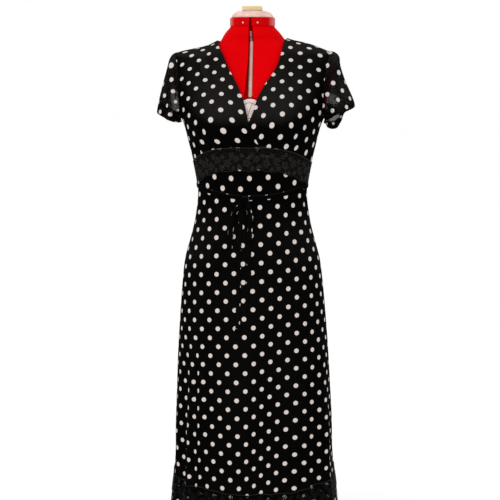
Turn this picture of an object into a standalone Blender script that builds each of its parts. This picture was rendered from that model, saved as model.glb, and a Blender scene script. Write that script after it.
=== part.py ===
"""Black dress with off-white polka dots, worn by a red limbless dress form on a four-legged stand.

Metres, +Z up, the front of the dress faces -Y and the wearer's right is at -X.
The cloth is a wall of one thickness. Every panel is a slab of rows and columns laid on one
skin, which is worked out from a table of level sections, two bust mounds and a table of folds.
Pieces that meet stand one seam gap apart, and a piece that lies on a panel is the same skin
moved out.
"""
import math

import bmesh
import bpy
from mathutils import Matrix, Vector

# Cloth
WALL = 0.0012
SEAM_GAP = 0.0003
LAYER = WALL + SEAM_GAP

# Level sections of the dress from the hem to the neck of the form
# height, half width, front depth, back depth, middle in x
SECTIONS = (
    (0.160, 0.2275, 0.209, 0.207, 0.0045),
    (0.216, 0.2215, 0.204, 0.202, 0.0045),
    (0.266, 0.2155, 0.200, 0.198, 0.0045),
    (0.300, 0.2110, 0.196, 0.195, 0.0040),
    (0.350, 0.2072, 0.190, 0.189, 0.0040),
    (0.433, 0.2058, 0.181, 0.181, 0.0035),
    (0.531, 0.2010, 0.169, 0.171, 0.0030),
    (0.628, 0.1958, 0.156, 0.160, 0.0020),
    (0.725, 0.1886, 0.143, 0.149, 0.0010),
    (0.804, 0.1815, 0.132, 0.140, 0.0005),
    (0.867, 0.1735, 0.124, 0.133, 0.0000),
    (0.914, 0.1610, 0.118, 0.124, 0.0000),
    (0.961, 0.1490, 0.111, 0.111, 0.0000),
    (1.007, 0.1416, 0.105, 0.100, 0.0000),
    (1.038, 0.1390, 0.103, 0.094, 0.0000),
    (1.069, 0.1415, 0.104, 0.092, 0.0000),
    (1.115, 0.1500, 0.110, 0.096, 0.0000),
    (1.160, 0.1605, 0.120, 0.102, 0.0000),
    (1.206, 0.1720, 0.128, 0.107, 0.0000),
    (1.240, 0.1850, 0.124, 0.108, 0.0000),
    (1.290, 0.1965, 0.107, 0.104, 0.0000),
    (1.340, 0.1995, 0.088, 0.092, 0.0000),
    (1.372, 0.1990, 0.076, 0.079, 0.0000),
    (1.388, 0.1930, 0.070, 0.072, 0.0000),
    (1.400, 0.1640, 0.066, 0.067, 0.0000),
    (1.410, 0.1340, 0.063, 0.064, 0.0000),
    (1.417, 0.1070, 0.061, 0.062, 0.0000),
    (1.423, 0.0880, 0.060, 0.061, 0.0000),
    (1.430, 0.0785, 0.061, 0.062, 0.0000),
    (1.444, 0.0620, 0.057, 0.058, 0.0000),
    (1.4535, 0.0543, 0.0538, 0.0540, 0.0000),
    (1.476, 0.0533, 0.0533, 0.0533, 0.0000),
    (1.490, 0.0533, 0.0533, 0.0533, 0.0000),
)
# Unevenness of the shoulders: middle in x, half width, rise
SHOULDER_LEVELS = (
    (-0.125, 0.045, -0.0085),
    (0.150, 0.060, 0.0030),
)

# Bust
BUST_HEIGHT = 1.203
BUST_SIDE = 0.085
BUST_PUSH = 0.031
BUST_WIDTH = 0.050
BUST_ABOVE = 0.072
BUST_BELOW = 0.048

# Skirt folds: angle from the front, half width in degrees, height out of the skin, height of the start
FOLDS = (
    (-67.0, 6.0, 0.006, 0.70),
    (-56.0, 5.0, -0.005, 0.76),
    (-46.0, 6.0, 0.012, 0.84),
    (-34.0, 6.0, -0.005, 0.78),
    (-8.0, 8.0, 0.007, 0.84),
    (10.0, 6.0, -0.005, 0.76),
    (32.0, 10.0, 0.004, 0.70),
    (53.0, 6.0, -0.006, 0.74),
    (67.0, 6.0, 0.009, 0.80),
    (108.0, 8.0, 0.008, 0.76),
    (124.0, 6.0, -0.005, 0.74),
    (142.0, 9.0, 0.009, 0.84),
    (160.0, 7.0, -0.006, 0.78),
    (178.0, 9.0, 0.008, 0.82),
    (197.0, 7.0, -0.006, 0.76),
    (214.0, 9.0, 0.009, 0.84),
    (233.0, 7.0, -0.005, 0.74),
    (251.0, 8.0, 0.007, 0.78),
)
FOLD_FULL_HEIGHT = 0.36

# Seams and edges
WAIST_FRONT = 1.037
WAIST_BACK = 1.045
WAIST_SIDE = 1.059
BUST_SEAM_MIDDLE = 1.161
BUST_SEAM_DROP = 0.045
LACE_FOOT_MIDDLE = 1.103
LACE_FOOT_DROP = 0.043
HEM_SEAM = 0.284
HEM = 0.170
HEM_LACE_TOP = 0.303
HEM_LACE_FOOT = 0.247
SCALLOPS = 9
SCALLOP_COLUMNS = 5
HEM_SCALLOPS = 12
SCALLOP_RISE = 0.005
WRAP_DROP = 0.0020
UNDERARM = 1.226
SHOULDER_TIP = 1.3905
NECK_POINT = 1.423
BACK_NECK = 1.398
BACK_NECK_SIDE = 0.084

# Wrapped edges of the fronts: height, distance from the middle on the panel's own side
EDGE_OF_RIGHT_FRONT = (
    (1.161, -0.0275),
    (1.190, -0.0150),
    (1.222, -0.0015),
    (1.252, 0.0060),
    (1.282, 0.0160),
    (1.311, 0.0295),
    (1.347, 0.0500),
    (1.383, 0.0665),
    (1.405, 0.0785),
)
EDGE_OF_LEFT_FRONT = (
    (1.161, -0.0275),
    (1.190, -0.0140),
    (1.222, 0.0015),
    (1.252, 0.0130),
    (1.282, 0.0215),
    (1.311, 0.0370),
    (1.347, 0.0610),
    (1.383, 0.0745),
    (1.405, 0.0785),
)

# Armhole between the underarm and the shoulder tip: angle back from the front, height
ARMHOLE_FRONT = (
    (90.0, 1.2260),
    (76.0, 1.2370),
    (68.5, 1.2620),
    (66.0, 1.3000),
    (67.0, 1.3400),
    (71.0, 1.3660),
    (78.0, 1.3820),
    (90.0, 1.3905),
)
ARMHOLE_BACK = (
    (90.0, 1.2260),
    (104.0, 1.2370),
    (112.0, 1.2620),
    (115.0, 1.3000),
    (113.0, 1.3400),
    (109.0, 1.3660),
    (102.0, 1.3820),
    (90.0, 1.3905),
)

# Sleeve hems: share of the way round from the underarm over the front, x outward, y, z
HEM_OF_RIGHT_SLEEVE = (
    (0.000, 0.1810, 0.000, 1.2150),
    (0.125, 0.1870, -0.046, 1.2165),
    (0.250, 0.2020, -0.060, 1.2210),
    (0.375, 0.2215, -0.042, 1.2290),
    (0.440, 0.2330, -0.024, 1.2350),
    (0.500, 0.2430, 0.000, 1.2420),
    (0.560, 0.2390, 0.024, 1.2430),
    (0.625, 0.2295, 0.042, 1.2345),
    (0.750, 0.2120, 0.060, 1.2240),
    (0.875, 0.1950, 0.044, 1.2180),
    (1.000, 0.1810, 0.000, 1.2150),
)
HEM_OF_LEFT_SLEEVE = (
    (0.000, 0.1800, 0.000, 1.2150),
    (0.125, 0.1890, -0.046, 1.2230),
    (0.250, 0.2110, -0.062, 1.2370),
    (0.375, 0.2360, -0.044, 1.2450),
    (0.440, 0.2460, -0.024, 1.2495),
    (0.500, 0.2575, 0.000, 1.2560),
    (0.560, 0.2440, 0.024, 1.2480),
    (0.620, 0.2280, 0.038, 1.2340),
    (0.680, 0.2220, 0.050, 1.2140),
    (0.740, 0.2140, 0.058, 1.2000),
    (0.800, 0.2000, 0.056, 1.1960),
    (0.890, 0.1870, 0.040, 1.2040),
    (1.000, 0.1800, 0.000, 1.2150),
)
# How far the gathered head of the right and the left sleeve stands out, and how far it falls in below
HEAD_PUFF = (0.0040, 0.0125)
HEAD_SLACK = (0.0000, 0.0045)
SLEEVE_STAND = 0.0010

# Tie, bow and tails
TIE_WIDTH = 0.011
TIE_START = 86.0
KNOT_X = -0.011
KNOT_Z = 1.0315
KNOT_SIZE = (0.018, 0.0085, 0.018)
# height, middle in x
TAIL_OF_RIGHT_TIE = ((1.022, -0.0165), (0.98, -0.0200), (0.90, -0.0240), (0.80, -0.0250), (0.715, -0.0265))
TAIL_OF_LEFT_TIE = ((1.022, -0.0030), (0.98, 0.0010), (0.90, 0.0015), (0.82, -0.0005), (0.748, -0.0075))
LOOP_OF_RIGHT_TIE = ((1.022, -0.0180), (1.000, -0.0340), (0.965, -0.0425), (0.913, -0.0450))
LOOP_OF_LEFT_TIE = ((1.022, -0.0050), (1.000, 0.0015), (0.965, 0.0035), (0.930, 0.0020))
END_KNOT_SIZE = (0.0110, 0.0060, 0.0100)
TAIL_LIFT = 0.0008

# Dress form
FORM_INSET = 0.0062
SHOULDER_INSET = 0.0080
FORM_BOTTOM = 0.795
FORM_TOP = 1.4738
# Rounded arm plates at the form's shoulders: height, half height, half width in degrees, rise
PLATE_HEIGHT = 1.345
PLATE_TALL = 0.033
PLATE_WIDE = 17.0
PLATE_RISE = 0.013
FORM_COLUMNS = 36
# Levels of the torso: height, rounding at its foot
FORM_LEVELS = (
    (0.795, 0.009),
    (0.800, 0.003),
    (0.812, 0.000),
    (0.867, 0.000),
    (0.914, 0.000),
    (0.960, 0.000),
    (1.000, 0.000),
    (1.038, 0.000),
    (1.080, 0.000),
    (1.120, 0.000),
    (1.160, 0.000),
    (1.203, 0.000),
    (1.245, 0.000),
    (1.290, 0.000),
    (1.335, 0.000),
    (1.365, 0.000),
    (1.382, 0.000),
    (1.394, 0.000),
    (1.404, 0.000),
    (1.413, 0.000),
    (1.421, 0.000),
    (1.431, 0.000),
    (1.442, 0.000),
    (1.4535, 0.000),
    (1.4738, 0.000),
)
# height, left edge and right edge of the slot, y of its floor
SLOT = (
    (1.4900, -0.0042, 0.0012, -0.0300),
    (1.4550, -0.0052, 0.0040, -0.0300),
    (1.4180, -0.0056, 0.0066, -0.0340),
    (1.3710, -0.0056, 0.0078, -0.0480),
    (1.2790, -0.0132, 0.0078, -0.0880),
    (1.2160, -0.0170, 0.0078, -0.1050),
)
WINDOW_X = (-0.0285, 0.0335)
WINDOW_Z = (1.2180, 1.2812)
BAR_WIDTH = 0.0102
BAR_DEPTH = 0.0050
BAR_TOP = 1.4170
BAR_FOOT = 1.2815
BAR_TIP_TOP = 1.4405
BAR_TIP_WIDTH = 0.0060
DIAL_RADIUS = 0.0290
DIAL_DEPTH = 0.0080
DIAL_X = 0.0025
DIAL_Z = 1.2500
COLLAR_FOOT = 1.4535
COLLAR_TOP = 1.4730
COLLAR_INNER = 0.0546
COLLAR_OUTER = 0.0563
# Degrees from the front to the collar's ends and to the rivets, on the wearer's right and left
COLLAR_ENDS = (4.2, 1.8)
RIVET_TURNS = (20.2, 17.2)
RIVET_Z = 1.4610
RIVET_RADIUS = 0.0020
CAP_RADIUS = 0.0525
BLOCK_SIZE = (0.0485, 0.0360, 0.0110)

# Stand
POLE_RADIUS = 0.0140
HUB_RADIUS = 0.0300
HUB_FOOT = 0.0350
HUB_TOP = 0.0850
LEG_WIDTH = 0.0240
LEG_HEIGHT = 0.0220
LEG_REACH = 0.2750
PAD_RADIUS = 0.0190
PAD_HEIGHT = 0.0080

PANEL_COLUMNS = 40
# Rows of the skirt: share of the way from the waist seam down to the lace on the hem
SKIRT_ROWS = (0.0, 0.016, 0.050, 0.095, 0.150, 0.225, 0.330, 0.470, 0.640, 0.820, 1.0)
SKIRT_LAST_LEVEL = 0.312
# Rows of the midriff below the lace, from the waist seam up
MIDRIFF_ROWS = (0.0, 0.3, 1.0)
SLEEVE_COLUMNS = 20
SLEEVE_ROWS = 5


def smooth(rows, key, column):
    """Value of one column of a table, eased through its rows."""
    first = 0
    for index in range(len(rows) - 1):
        if key >= rows[index][0]:
            first = index
    first = min(first, len(rows) - 2)
    low = rows[first]
    high = rows[first + 1]
    span = high[0] - low[0]
    part = min(max((key - low[0]) / span, 0.0), 1.0)
    before = rows[first - 1] if first > 0 else low
    after = rows[first + 2] if first + 2 < len(rows) else high
    start_slope = (high[column] - before[column]) / (high[0] - before[0]) * span
    end_slope = (after[column] - low[column]) / (after[0] - low[0]) * span
    square = part * part
    cube = square * part
    return (
        (2.0 * cube - 3.0 * square + 1.0) * low[column]
        + (cube - 2.0 * square + part) * start_slope
        + (3.0 * square - 2.0 * cube) * high[column]
        + (cube - square) * end_slope
    )


def ramp(value):
    """Ease from 0 to 1."""
    part = min(max(value, 0.0), 1.0)
    return part * part * (3.0 - 2.0 * part)


def fold_height(angle, height):
    """How far the skirt's folds carry the skin outward."""
    total = 0.0
    for middle, width, rise, start in FOLDS:
        away = (angle - middle + 180.0) % 360.0 - 180.0
        if abs(away) > 4.0 * width or height > start:
            continue
        grow = ramp((start - height) / (start - FOLD_FULL_HEIGHT))
        total += rise * grow * math.exp(-((away / width) ** 2))
    return total


def shoulder_rise(x, height):
    """How far the uneven shoulders lift the skin."""
    total = 0.0
    for middle, width, rise in SHOULDER_LEVELS:
        total += rise * math.exp(-(((x - middle) / width) ** 2))
    return total * ramp((height - 1.300) / 0.080) * (1.0 - ramp((height - 1.425) / 0.020))


def skin_point(angle, height, folded=True):
    """Point on the outer face of the dress at an angle from the front and a height."""
    turn = math.radians(angle)
    half = smooth(SECTIONS, height, 1)
    side = math.sin(turn)
    ahead = math.cos(turn)
    depth = smooth(SECTIONS, height, 2 if ahead > 0.0 else 3)
    x = half * side
    y = -depth * ahead
    if ahead > 0.0 and 1.04 < height < 1.46:
        reach = BUST_ABOVE if height > BUST_HEIGHT else BUST_BELOW
        level = math.exp(-(((height - BUST_HEIGHT) / reach) ** 2))
        mounds = 0.0
        for middle in (-BUST_SIDE, BUST_SIDE):
            mounds += math.exp(-0.5 * ((x - middle) / BUST_WIDTH) ** 2)
        y -= BUST_PUSH * level * mounds * ramp(ahead * 1.6)
    if folded:
        rise = fold_height(angle, height)
        x += rise * side
        y -= rise * ahead
    return Vector((x + smooth(SECTIONS, height, 4), y, height + shoulder_rise(x, height)))


def skin(angle, height, out=0.0, folded=True, level=False):
    """Point moved outward from the dress's outer face; level keeps its height."""
    point = skin_point(angle, height, folded)
    if out == 0.0:
        return point
    step_round = skin_point(angle + 0.4, height, folded) - skin_point(angle - 0.4, height, folded)
    step_up = skin_point(angle, height + 0.0005, folded) - skin_point(angle, height - 0.0005, folded)
    normal = step_round.cross(step_up)
    if level:
        normal.z = 0.0
    return point + normal.normalized() * out


def side_angle(height):
    """Angle of the side edge of a front panel, half a seam gap from the side."""
    return 90.0 - math.degrees(0.5 * SEAM_GAP / smooth(SECTIONS, height, 2)) - 0.02


def angle_of(x, height):
    """Angle of the front skin at a distance from the middle."""
    half = smooth(SECTIONS, height, 1)
    return min(math.degrees(math.asin(max(min(x / half, 1.0), -1.0))), side_angle(height))


def waist_seam(angle):
    """Height of the waist seam."""
    side = math.sin(math.radians(angle)) ** 2
    middle = WAIST_FRONT if math.cos(math.radians(angle)) > 0.0 else WAIST_BACK
    return middle + (WAIST_SIDE - middle) * side


def bust_seam(angle):
    """Height of the seam under the bust, which is also the lace's top edge."""
    return BUST_SEAM_MIDDLE - BUST_SEAM_DROP * abs(math.sin(math.radians(angle))) ** 3.2


def lace_foot(angle):
    """Height of the lace's lower edge between its scallops."""
    return LACE_FOOT_MIDDLE - LACE_FOOT_DROP * abs(math.sin(math.radians(angle))) ** 3.0


def by_length(points, place):
    """Resample a run of (x, height) points evenly by its length on the skin."""
    spots = [place(x, height) for x, height in points]
    lengths = [0.0]
    for index in range(1, len(spots)):
        lengths.append(lengths[-1] + (spots[index] - spots[index - 1]).length)

    def at(share):
        goal = min(max(share, 0.0), 1.0) * lengths[-1]
        index = 1
        while index < len(lengths) - 1 and lengths[index] < goal:
            index += 1
        step = lengths[index] - lengths[index - 1]
        part = (goal - lengths[index - 1]) / step if step > 0.0 else 0.0
        low = points[index - 1]
        high = points[index]
        return (low[0] + (high[0] - low[0]) * part, low[1] + (high[1] - low[1]) * part)

    return at


def patch(foot, top, start, end):
    """Blend four border runs into one patch of (x, height)."""
    def at(u, v):
        low = foot(u)
        high = top(u)
        left = start(v)
        right = end(v)
        result = []
        for axis in (0, 1):
            corners = (
                (1.0 - u) * (1.0 - v) * foot(0.0)[axis]
                + u * (1.0 - v) * foot(1.0)[axis]
                + (1.0 - u) * v * top(0.0)[axis]
                + u * v * top(1.0)[axis]
            )
            result.append(
                (1.0 - v) * low[axis] + v * high[axis]
                + (1.0 - u) * left[axis] + u * right[axis] - corners
            )
        return result
    return at


def front_place(x, height):
    """Skin point at the front for a distance from the middle."""
    return skin_point(angle_of(x, height), height)


def back_angle_of(x, height):
    """Angle of the back skin at a distance from the middle, measured from the wearer's left."""
    half = smooth(SECTIONS, height, 1)
    edge = math.degrees(0.5 * SEAM_GAP / smooth(SECTIONS, height, 3)) + 0.02
    turn = math.degrees(math.asin(max(min(x / half, 1.0), -1.0)))
    return min(max(180.0 - turn, 90.0 + edge), 270.0 - edge)


def back_place(x, height):
    """Skin point at the back for a distance from the middle."""
    return skin_point(back_angle_of(x, height), height)


def half_width(height):
    """Half width of the section at a height."""
    return smooth(SECTIONS, height, 1)


def armhole_run(rows):
    """Dense run of (x, height) along one half of the armhole."""
    run = []
    pieces = 60
    for step in range(pieces + 1):
        share = step / pieces * (len(rows) - 1)
        index = min(int(share), len(rows) - 2)
        keyed = [(float(number), row[0], row[1]) for number, row in enumerate(rows)]
        angle = smooth(keyed, share, 1)
        height = smooth(keyed, share, 2)
        if index == len(rows) - 2 and step == pieces:
            angle, height = rows[-1]
        run.append((half_width(height) * math.sin(math.radians(angle)), height))
    return run


def ridge_run():
    """Dense run of (x, height) along the shoulder seam from its tip to the neck point."""
    count = 40
    run = []
    for step in range(count + 1):
        height = SHOULDER_TIP + (NECK_POINT - SHOULDER_TIP) * step / count
        run.append((half_width(height), height))
    return run


def front_edge_run(edge):
    """Dense run of (x, height) along a wrapped front edge and the neckline."""
    run = []
    low = edge[0][0] + 0.5 * SEAM_GAP
    high = edge[-1][0]
    for step in range(45):
        height = low + (high - low) * step / 44
        run.append((smooth(edge, height, 1), height))
    for x, height in ((0.0805, 1.4140), (0.0830, 1.4195), (0.0880, 1.4230)):
        run.append((x, height))
    return run


def front_panel_map(edge_table):
    """Map of a front bodice panel from the side seam to its wrapped edge."""
    foot_run = []
    edge_x = edge_table[0][1]
    last_angle = math.degrees(math.asin(edge_x / half_width(BUST_SEAM_MIDDLE)))
    for step in range(49):
        angle = 90.0 + (last_angle - 90.0) * step / 48
        height = bust_seam(angle) + 0.5 * SEAM_GAP
        foot_run.append((half_width(height) * math.sin(math.radians(angle)), height))
    side_run = []
    low = foot_run[0][1]
    for step in range(13):
        height = low + (UNDERARM - low) * step / 12
        side_run.append((half_width(height), height))
    foot = by_length(foot_run, front_place)
    top = by_length(ridge_run(), front_place)
    side = by_length(side_run, front_place)
    armhole = by_length(armhole_run(ARMHOLE_FRONT), front_place)
    edge = by_length(front_edge_run(edge_table), front_place)

    def start(v):
        return side(v / FRONT_UNDERARM) if v < FRONT_UNDERARM else armhole((v - FRONT_UNDERARM) / (1.0 - FRONT_UNDERARM))

    return patch(foot, top, start, edge)


def row_share(v):
    """Share of the way up a bodice panel; the rows close up towards the shoulder seam."""
    return 1.0 - (1.0 - v) ** 1.25


FRONT_COLUMNS = 13
FRONT_ROWS = 14
FRONT_UNDERARM_ROW = 4
FRONT_UNDERARM = row_share(FRONT_UNDERARM_ROW / FRONT_ROWS)
BACK_COLUMNS = 24
BACK_ROWS = 15
BACK_UNDERARM_ROW = 5
BACK_UNDERARM = row_share(BACK_UNDERARM_ROW / BACK_ROWS)
BACK_SHOULDER = 7.0 / BACK_COLUMNS


def back_panel_map():
    """Map of the whole back bodice from the wearer's left side to the right side."""
    foot_run = []
    for step in range(97):
        angle = 90.0 + 180.0 * step / 96
        height = waist_seam(angle) + 0.5 * SEAM_GAP
        foot_run.append((half_width(height) * math.sin(math.radians(angle)), height))
    low = foot_run[0][1]
    side_run = []
    for step in range(13):
        height = low + (UNDERARM - low) * step / 12
        side_run.append((half_width(height), height))
    neck_run = []
    for step in range(49):
        share = 1.0 - 2.0 * step / 48
        dip = 1.0 - abs(share) ** 2.6
        height = NECK_POINT - (NECK_POINT - BACK_NECK) * dip
        wide = half_width(NECK_POINT) * share if abs(share) == 1.0 else BACK_NECK_SIDE * share
        neck_run.append((wide, height))
    foot = by_length(foot_run, back_place)
    shoulder = by_length(ridge_run(), back_place)
    neck = by_length(neck_run, back_place)
    side = by_length(side_run, back_place)
    armhole = by_length(armhole_run(ARMHOLE_BACK), back_place)

    def top(u):
        if u < BACK_SHOULDER:
            return shoulder(u / BACK_SHOULDER)
        if u > 1.0 - BACK_SHOULDER:
            x, height = shoulder((1.0 - u) / BACK_SHOULDER)
            return (-x, height)
        return neck((u - BACK_SHOULDER) / (1.0 - 2.0 * BACK_SHOULDER))

    def start(v):
        return side(v / BACK_UNDERARM) if v < BACK_UNDERARM else armhole((v - BACK_UNDERARM) / (1.0 - BACK_UNDERARM))

    def end(v):
        x, height = start(v)
        return (-x, height)

    return patch(foot, top, start, end)


def new_collection(name):
    """Collection linked to the scene."""
    made = bpy.data.collections.new(name)
    bpy.context.scene.collection.children.link(made)
    return made


def material(name, colour, roughness, metallic=0.0):
    """Plain surface for one node."""
    made = bpy.data.materials.new(name)
    made.use_nodes = True
    shader = made.node_tree.nodes["Principled BSDF"]
    shader.inputs["Base Color"].default_value = (*colour, 1.0)
    shader.inputs["Roughness"].default_value = roughness
    shader.inputs["Metallic"].default_value = metallic
    made.diffuse_color = (*colour, 1.0)
    return made


def finish(bm, name, collection, colour, roughness, metallic=0.0):
    """Turn a closed bmesh into a named object."""
    bmesh.ops.recalc_face_normals(bm, faces=bm.faces)
    if bm.calc_volume(signed=True) < 0.0:
        bmesh.ops.reverse_faces(bm, faces=bm.faces)
    mesh = bpy.data.meshes.new(name)
    bm.to_mesh(mesh)
    bm.free()
    made = bpy.data.objects.new(name, mesh)
    collection.objects.link(made)
    made.data.materials.append(material(name, colour, roughness, metallic))
    return made


def slab(columns, rows, place, ring=False):
    """Closed slab of columns and rows whose corners are put in place by (u, v, layer)."""
    bm = bmesh.new()
    bmesh.ops.create_grid(bm, x_segments=columns, y_segments=rows, size=0.5)
    lifted = bmesh.ops.extrude_face_region(bm, geom=list(bm.faces), use_keep_orig=True)
    for item in lifted["geom"]:
        if isinstance(item, bmesh.types.BMVert):
            item.co.z = 1.0
    if ring:
        ends = []
        for face in bm.faces:
            if all(vert.co.x < -0.499 for vert in face.verts) or all(vert.co.x > 0.499 for vert in face.verts):
                ends.append(face)
        bmesh.ops.delete(bm, geom=ends, context="FACES_ONLY")
    for vert in bm.verts:
        vert.co = place(vert.co.x + 0.5, vert.co.y + 0.5, vert.co.z)
    if ring:
        bmesh.ops.remove_doubles(bm, verts=bm.verts, dist=0.00001)
    return bm


def cloth(name, columns, rows, spot, lift=0.0, wall=WALL, colour=(0.012, 0.012, 0.013), level=False, folded=True):
    """Cloth piece on the skin; spot turns (u, v) into an angle and a height."""
    def place(u, v, layer):
        angle, height, extra = spot(u, v)
        return skin(angle, height, lift + extra - wall * (1.0 - layer) + 1e-9, folded, level)

    return finish(slab(columns, rows, place), name, dress_parts, colour, 0.8)


def bodice_fronts():
    """The two wrapped fronts; the wearer's right one lies on top."""
    right_map = front_panel_map(EDGE_OF_RIGHT_FRONT)
    left_map = front_panel_map(EDGE_OF_LEFT_FRONT)

    def right(u, v):
        x, height = right_map(u, row_share(v))
        return (-angle_of(x, height), height, 0.0)

    def left(u, v):
        x, height = left_map(u, row_share(v))
        under = -WRAP_DROP * ramp((0.100 - x) / 0.050) * ramp((1.40 - height) / 0.10)
        return (angle_of(x, height), height, under)

    cloth("bodice_front_right", FRONT_COLUMNS, FRONT_ROWS, right)
    cloth("bodice_front_left", FRONT_COLUMNS, FRONT_ROWS, left)


def bodice_back():
    """Back bodice in one piece from the waist seam to the neck."""
    mapped = back_panel_map()

    def spot(u, v):
        x, height = mapped(u, row_share(v))
        return (back_angle_of(x, height), height, 0.0)

    cloth("bodice_back", BACK_COLUMNS, BACK_ROWS, spot)


def midriff_and_lace():
    """Dotted midriff between the bust seam and the waist seam, with the lace laid on its top."""
    columns = SCALLOPS * SCALLOP_COLUMNS
    rows = len(MIDRIFF_ROWS) + 1

    def midriff(u, v):
        angle = (2.0 * u - 1.0) * side_angle(1.08)
        low = waist_seam(angle) + 0.5 * SEAM_GAP
        middle = max(lace_foot(angle), low + 0.0016)
        high = bust_seam(angle) - 0.5 * SEAM_GAP
        row = round(v * rows)
        if row < len(MIDRIFF_ROWS):
            return (angle, low + (middle - low) * MIDRIFF_ROWS[row], 0.0)
        return (angle, middle + (high - middle) * 0.5 * (row - len(MIDRIFF_ROWS) + 1), 0.0)

    def band(u, v):
        turn = 2.0 * u - 1.0
        angle = turn * side_angle(1.08)
        low = waist_seam(angle) + 0.5 * SEAM_GAP
        middle = max(lace_foot(angle), low + 0.0016)
        high = bust_seam(angle) - 0.5 * SEAM_GAP
        if v < 0.25:
            wave = abs(math.sin(math.pi * SCALLOPS * u))
            foot = middle + SCALLOP_RISE * (0.6 - wave) * ramp((1.0 - abs(turn)) * 9.0)
            return (angle, max(foot, low + 0.0008), 0.0)
        return (angle, middle + (high - middle) * v, 0.0)

    cloth("midriff_front", columns, rows, midriff)
    cloth("lace_waist_front", columns, 2, band, LAYER, colour=(0.02, 0.018, 0.017))


def skirt_angle(u, height, front):
    """Angle of a skirt column, half a seam gap short of the side seams."""
    if front:
        return (2.0 * u - 1.0) * side_angle(height)
    edge = math.degrees(0.5 * SEAM_GAP / smooth(SECTIONS, height, 3)) + 0.02
    return 90.0 + edge + (180.0 - 2.0 * edge) * u


def skirts():
    """Skirt panels, hem flounces and the lace over their joins."""
    for front, name in ((True, "front"), (False, "back")):
        def skirt(u, v, front=front):
            row = round((1.0 - v) * len(SKIRT_ROWS))
            if row == len(SKIRT_ROWS):
                height = HEM_SEAM + 0.5 * SEAM_GAP
            else:
                high = waist_seam(skirt_angle(u, 1.04, front)) - 0.5 * SEAM_GAP
                height = high + (SKIRT_LAST_LEVEL - high) * SKIRT_ROWS[row]
            return (skirt_angle(u, height, front), height, 0.0)

        def flounce(u, v, front=front):
            height = HEM + (HEM_SEAM - 0.5 * SEAM_GAP - HEM) * v
            return (skirt_angle(u, height, front), height, 0.0)

        def lace(u, v, front=front):
            wave = abs(math.sin(math.pi * HEM_SCALLOPS * u)) - 0.6
            height = HEM_SEAM
            if v < 0.25:
                height = HEM_LACE_FOOT - 0.5 * SCALLOP_RISE * wave
            if v > 0.75:
                height = HEM_LACE_TOP + 0.5 * SCALLOP_RISE * wave
            return (skirt_angle(u, height, front), height, 0.0)

        cloth("skirt_" + name, PANEL_COLUMNS, len(SKIRT_ROWS), skirt, level=True)
        cloth("hem_flounce_" + name, PANEL_COLUMNS, 2, flounce, level=True)
        cloth("lace_hem_" + name, PANEL_COLUMNS, 2, lace, LAYER, colour=(0.02, 0.018, 0.017), level=True)


def sleeve_line(side, share):
    """Start, leaving direction, hem point and arriving direction of one line down a sleeve."""
    if share <= 0.5:
        rise = row_share((FRONT_UNDERARM_ROW + SLEEVE_COLUMNS * share) / FRONT_ROWS)
        x, height = FRONT_ARMHOLE((rise - FRONT_UNDERARM) / (1.0 - FRONT_UNDERARM))
        angle = angle_of(x, height)
    else:
        rise = row_share((BACK_UNDERARM_ROW + SLEEVE_COLUMNS * (1.0 - share)) / BACK_ROWS)
        x, height = BACK_ARMHOLE((rise - BACK_UNDERARM) / (1.0 - BACK_UNDERARM))
        angle = back_angle_of(x, height)
    start = skin(side * angle, height, SLEEVE_STAND)
    start.x *= side
    hem = HEM_OF_LEFT_SLEEVE if side > 0.0 else HEM_OF_RIGHT_SLEEVE
    end = Vector((smooth(hem, share, 1), smooth(hem, share, 2), smooth(hem, share, 3)))
    top = math.sin(math.pi * share)
    leave = Vector((0.010 + 0.052 * top, 0.35 * start.y * top, -0.006 - 0.030 * top))
    arrive = Vector((0.004 + 0.014 * top, 0.25 * end.y, -0.008 - 0.115 * top))
    return (start, leave, end, arrive)


FRONT_ARMHOLE = by_length(armhole_run(ARMHOLE_FRONT), front_place)
BACK_ARMHOLE = by_length(armhole_run(ARMHOLE_BACK), back_place)


def sleeve_point(side, share, down):
    """Point on the middle of a sleeve's wall."""
    start, leave, end, arrive = sleeve_line(side, share % 1.0)
    square = down * down
    cube = square * down
    point = (
        start * (2.0 * cube - 3.0 * square + 1.0)
        + leave * (cube - 2.0 * square + down)
        + end * (3.0 * square - 2.0 * cube)
        + arrive * (cube - square)
    )
    which = 1 if side > 0.0 else 0
    puff = HEAD_PUFF[which] * math.exp(-(((down - 0.13) / 0.17) ** 2))
    puff -= HEAD_SLACK[which] * math.exp(-(((down - 0.62) / 0.20) ** 2))
    point.x += puff * ramp(down / 0.06) * math.sin(math.pi * share) ** 2
    return Vector((side * point.x, point.y, point.z))


def sleeves():
    """Short sheer sleeves, each one tube open at the hem."""
    for side, name in ((-1.0, "sleeve_right"), (1.0, "sleeve_left")):
        def place(u, v, layer, side=side):
            point = sleeve_point(side, u, v)
            round_step = sleeve_point(side, u + 0.004, v) - sleeve_point(side, u - 0.004, v)
            low = max(v - 0.01, 0.0)
            high = min(v + 0.01, 1.0)
            down_step = sleeve_point(side, u, high) - sleeve_point(side, u, low)
            normal = round_step.cross(down_step).normalized()
            out = side * (0.5 - layer) * WALL
            return point + normal * out

        bm = slab(SLEEVE_COLUMNS, SLEEVE_ROWS, place, ring=True)
        finish(bm, name, dress_parts, (0.02, 0.02, 0.021), 0.7)


def rounded_block(name, size, centre, colour, roughness, collection, bevel, metallic=0.0):
    """Block with rounded edges."""
    bm = bmesh.new()
    bmesh.ops.create_cube(bm, size=1.0)
    bmesh.ops.scale(bm, vec=size, verts=bm.verts)
    bmesh.ops.bevel(bm, geom=list(bm.edges), offset=bevel, segments=2, profile=0.6, affect="EDGES")
    bmesh.ops.translate(bm, vec=centre, verts=bm.verts)
    return finish(bm, name, collection, colour, roughness, metallic)


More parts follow.
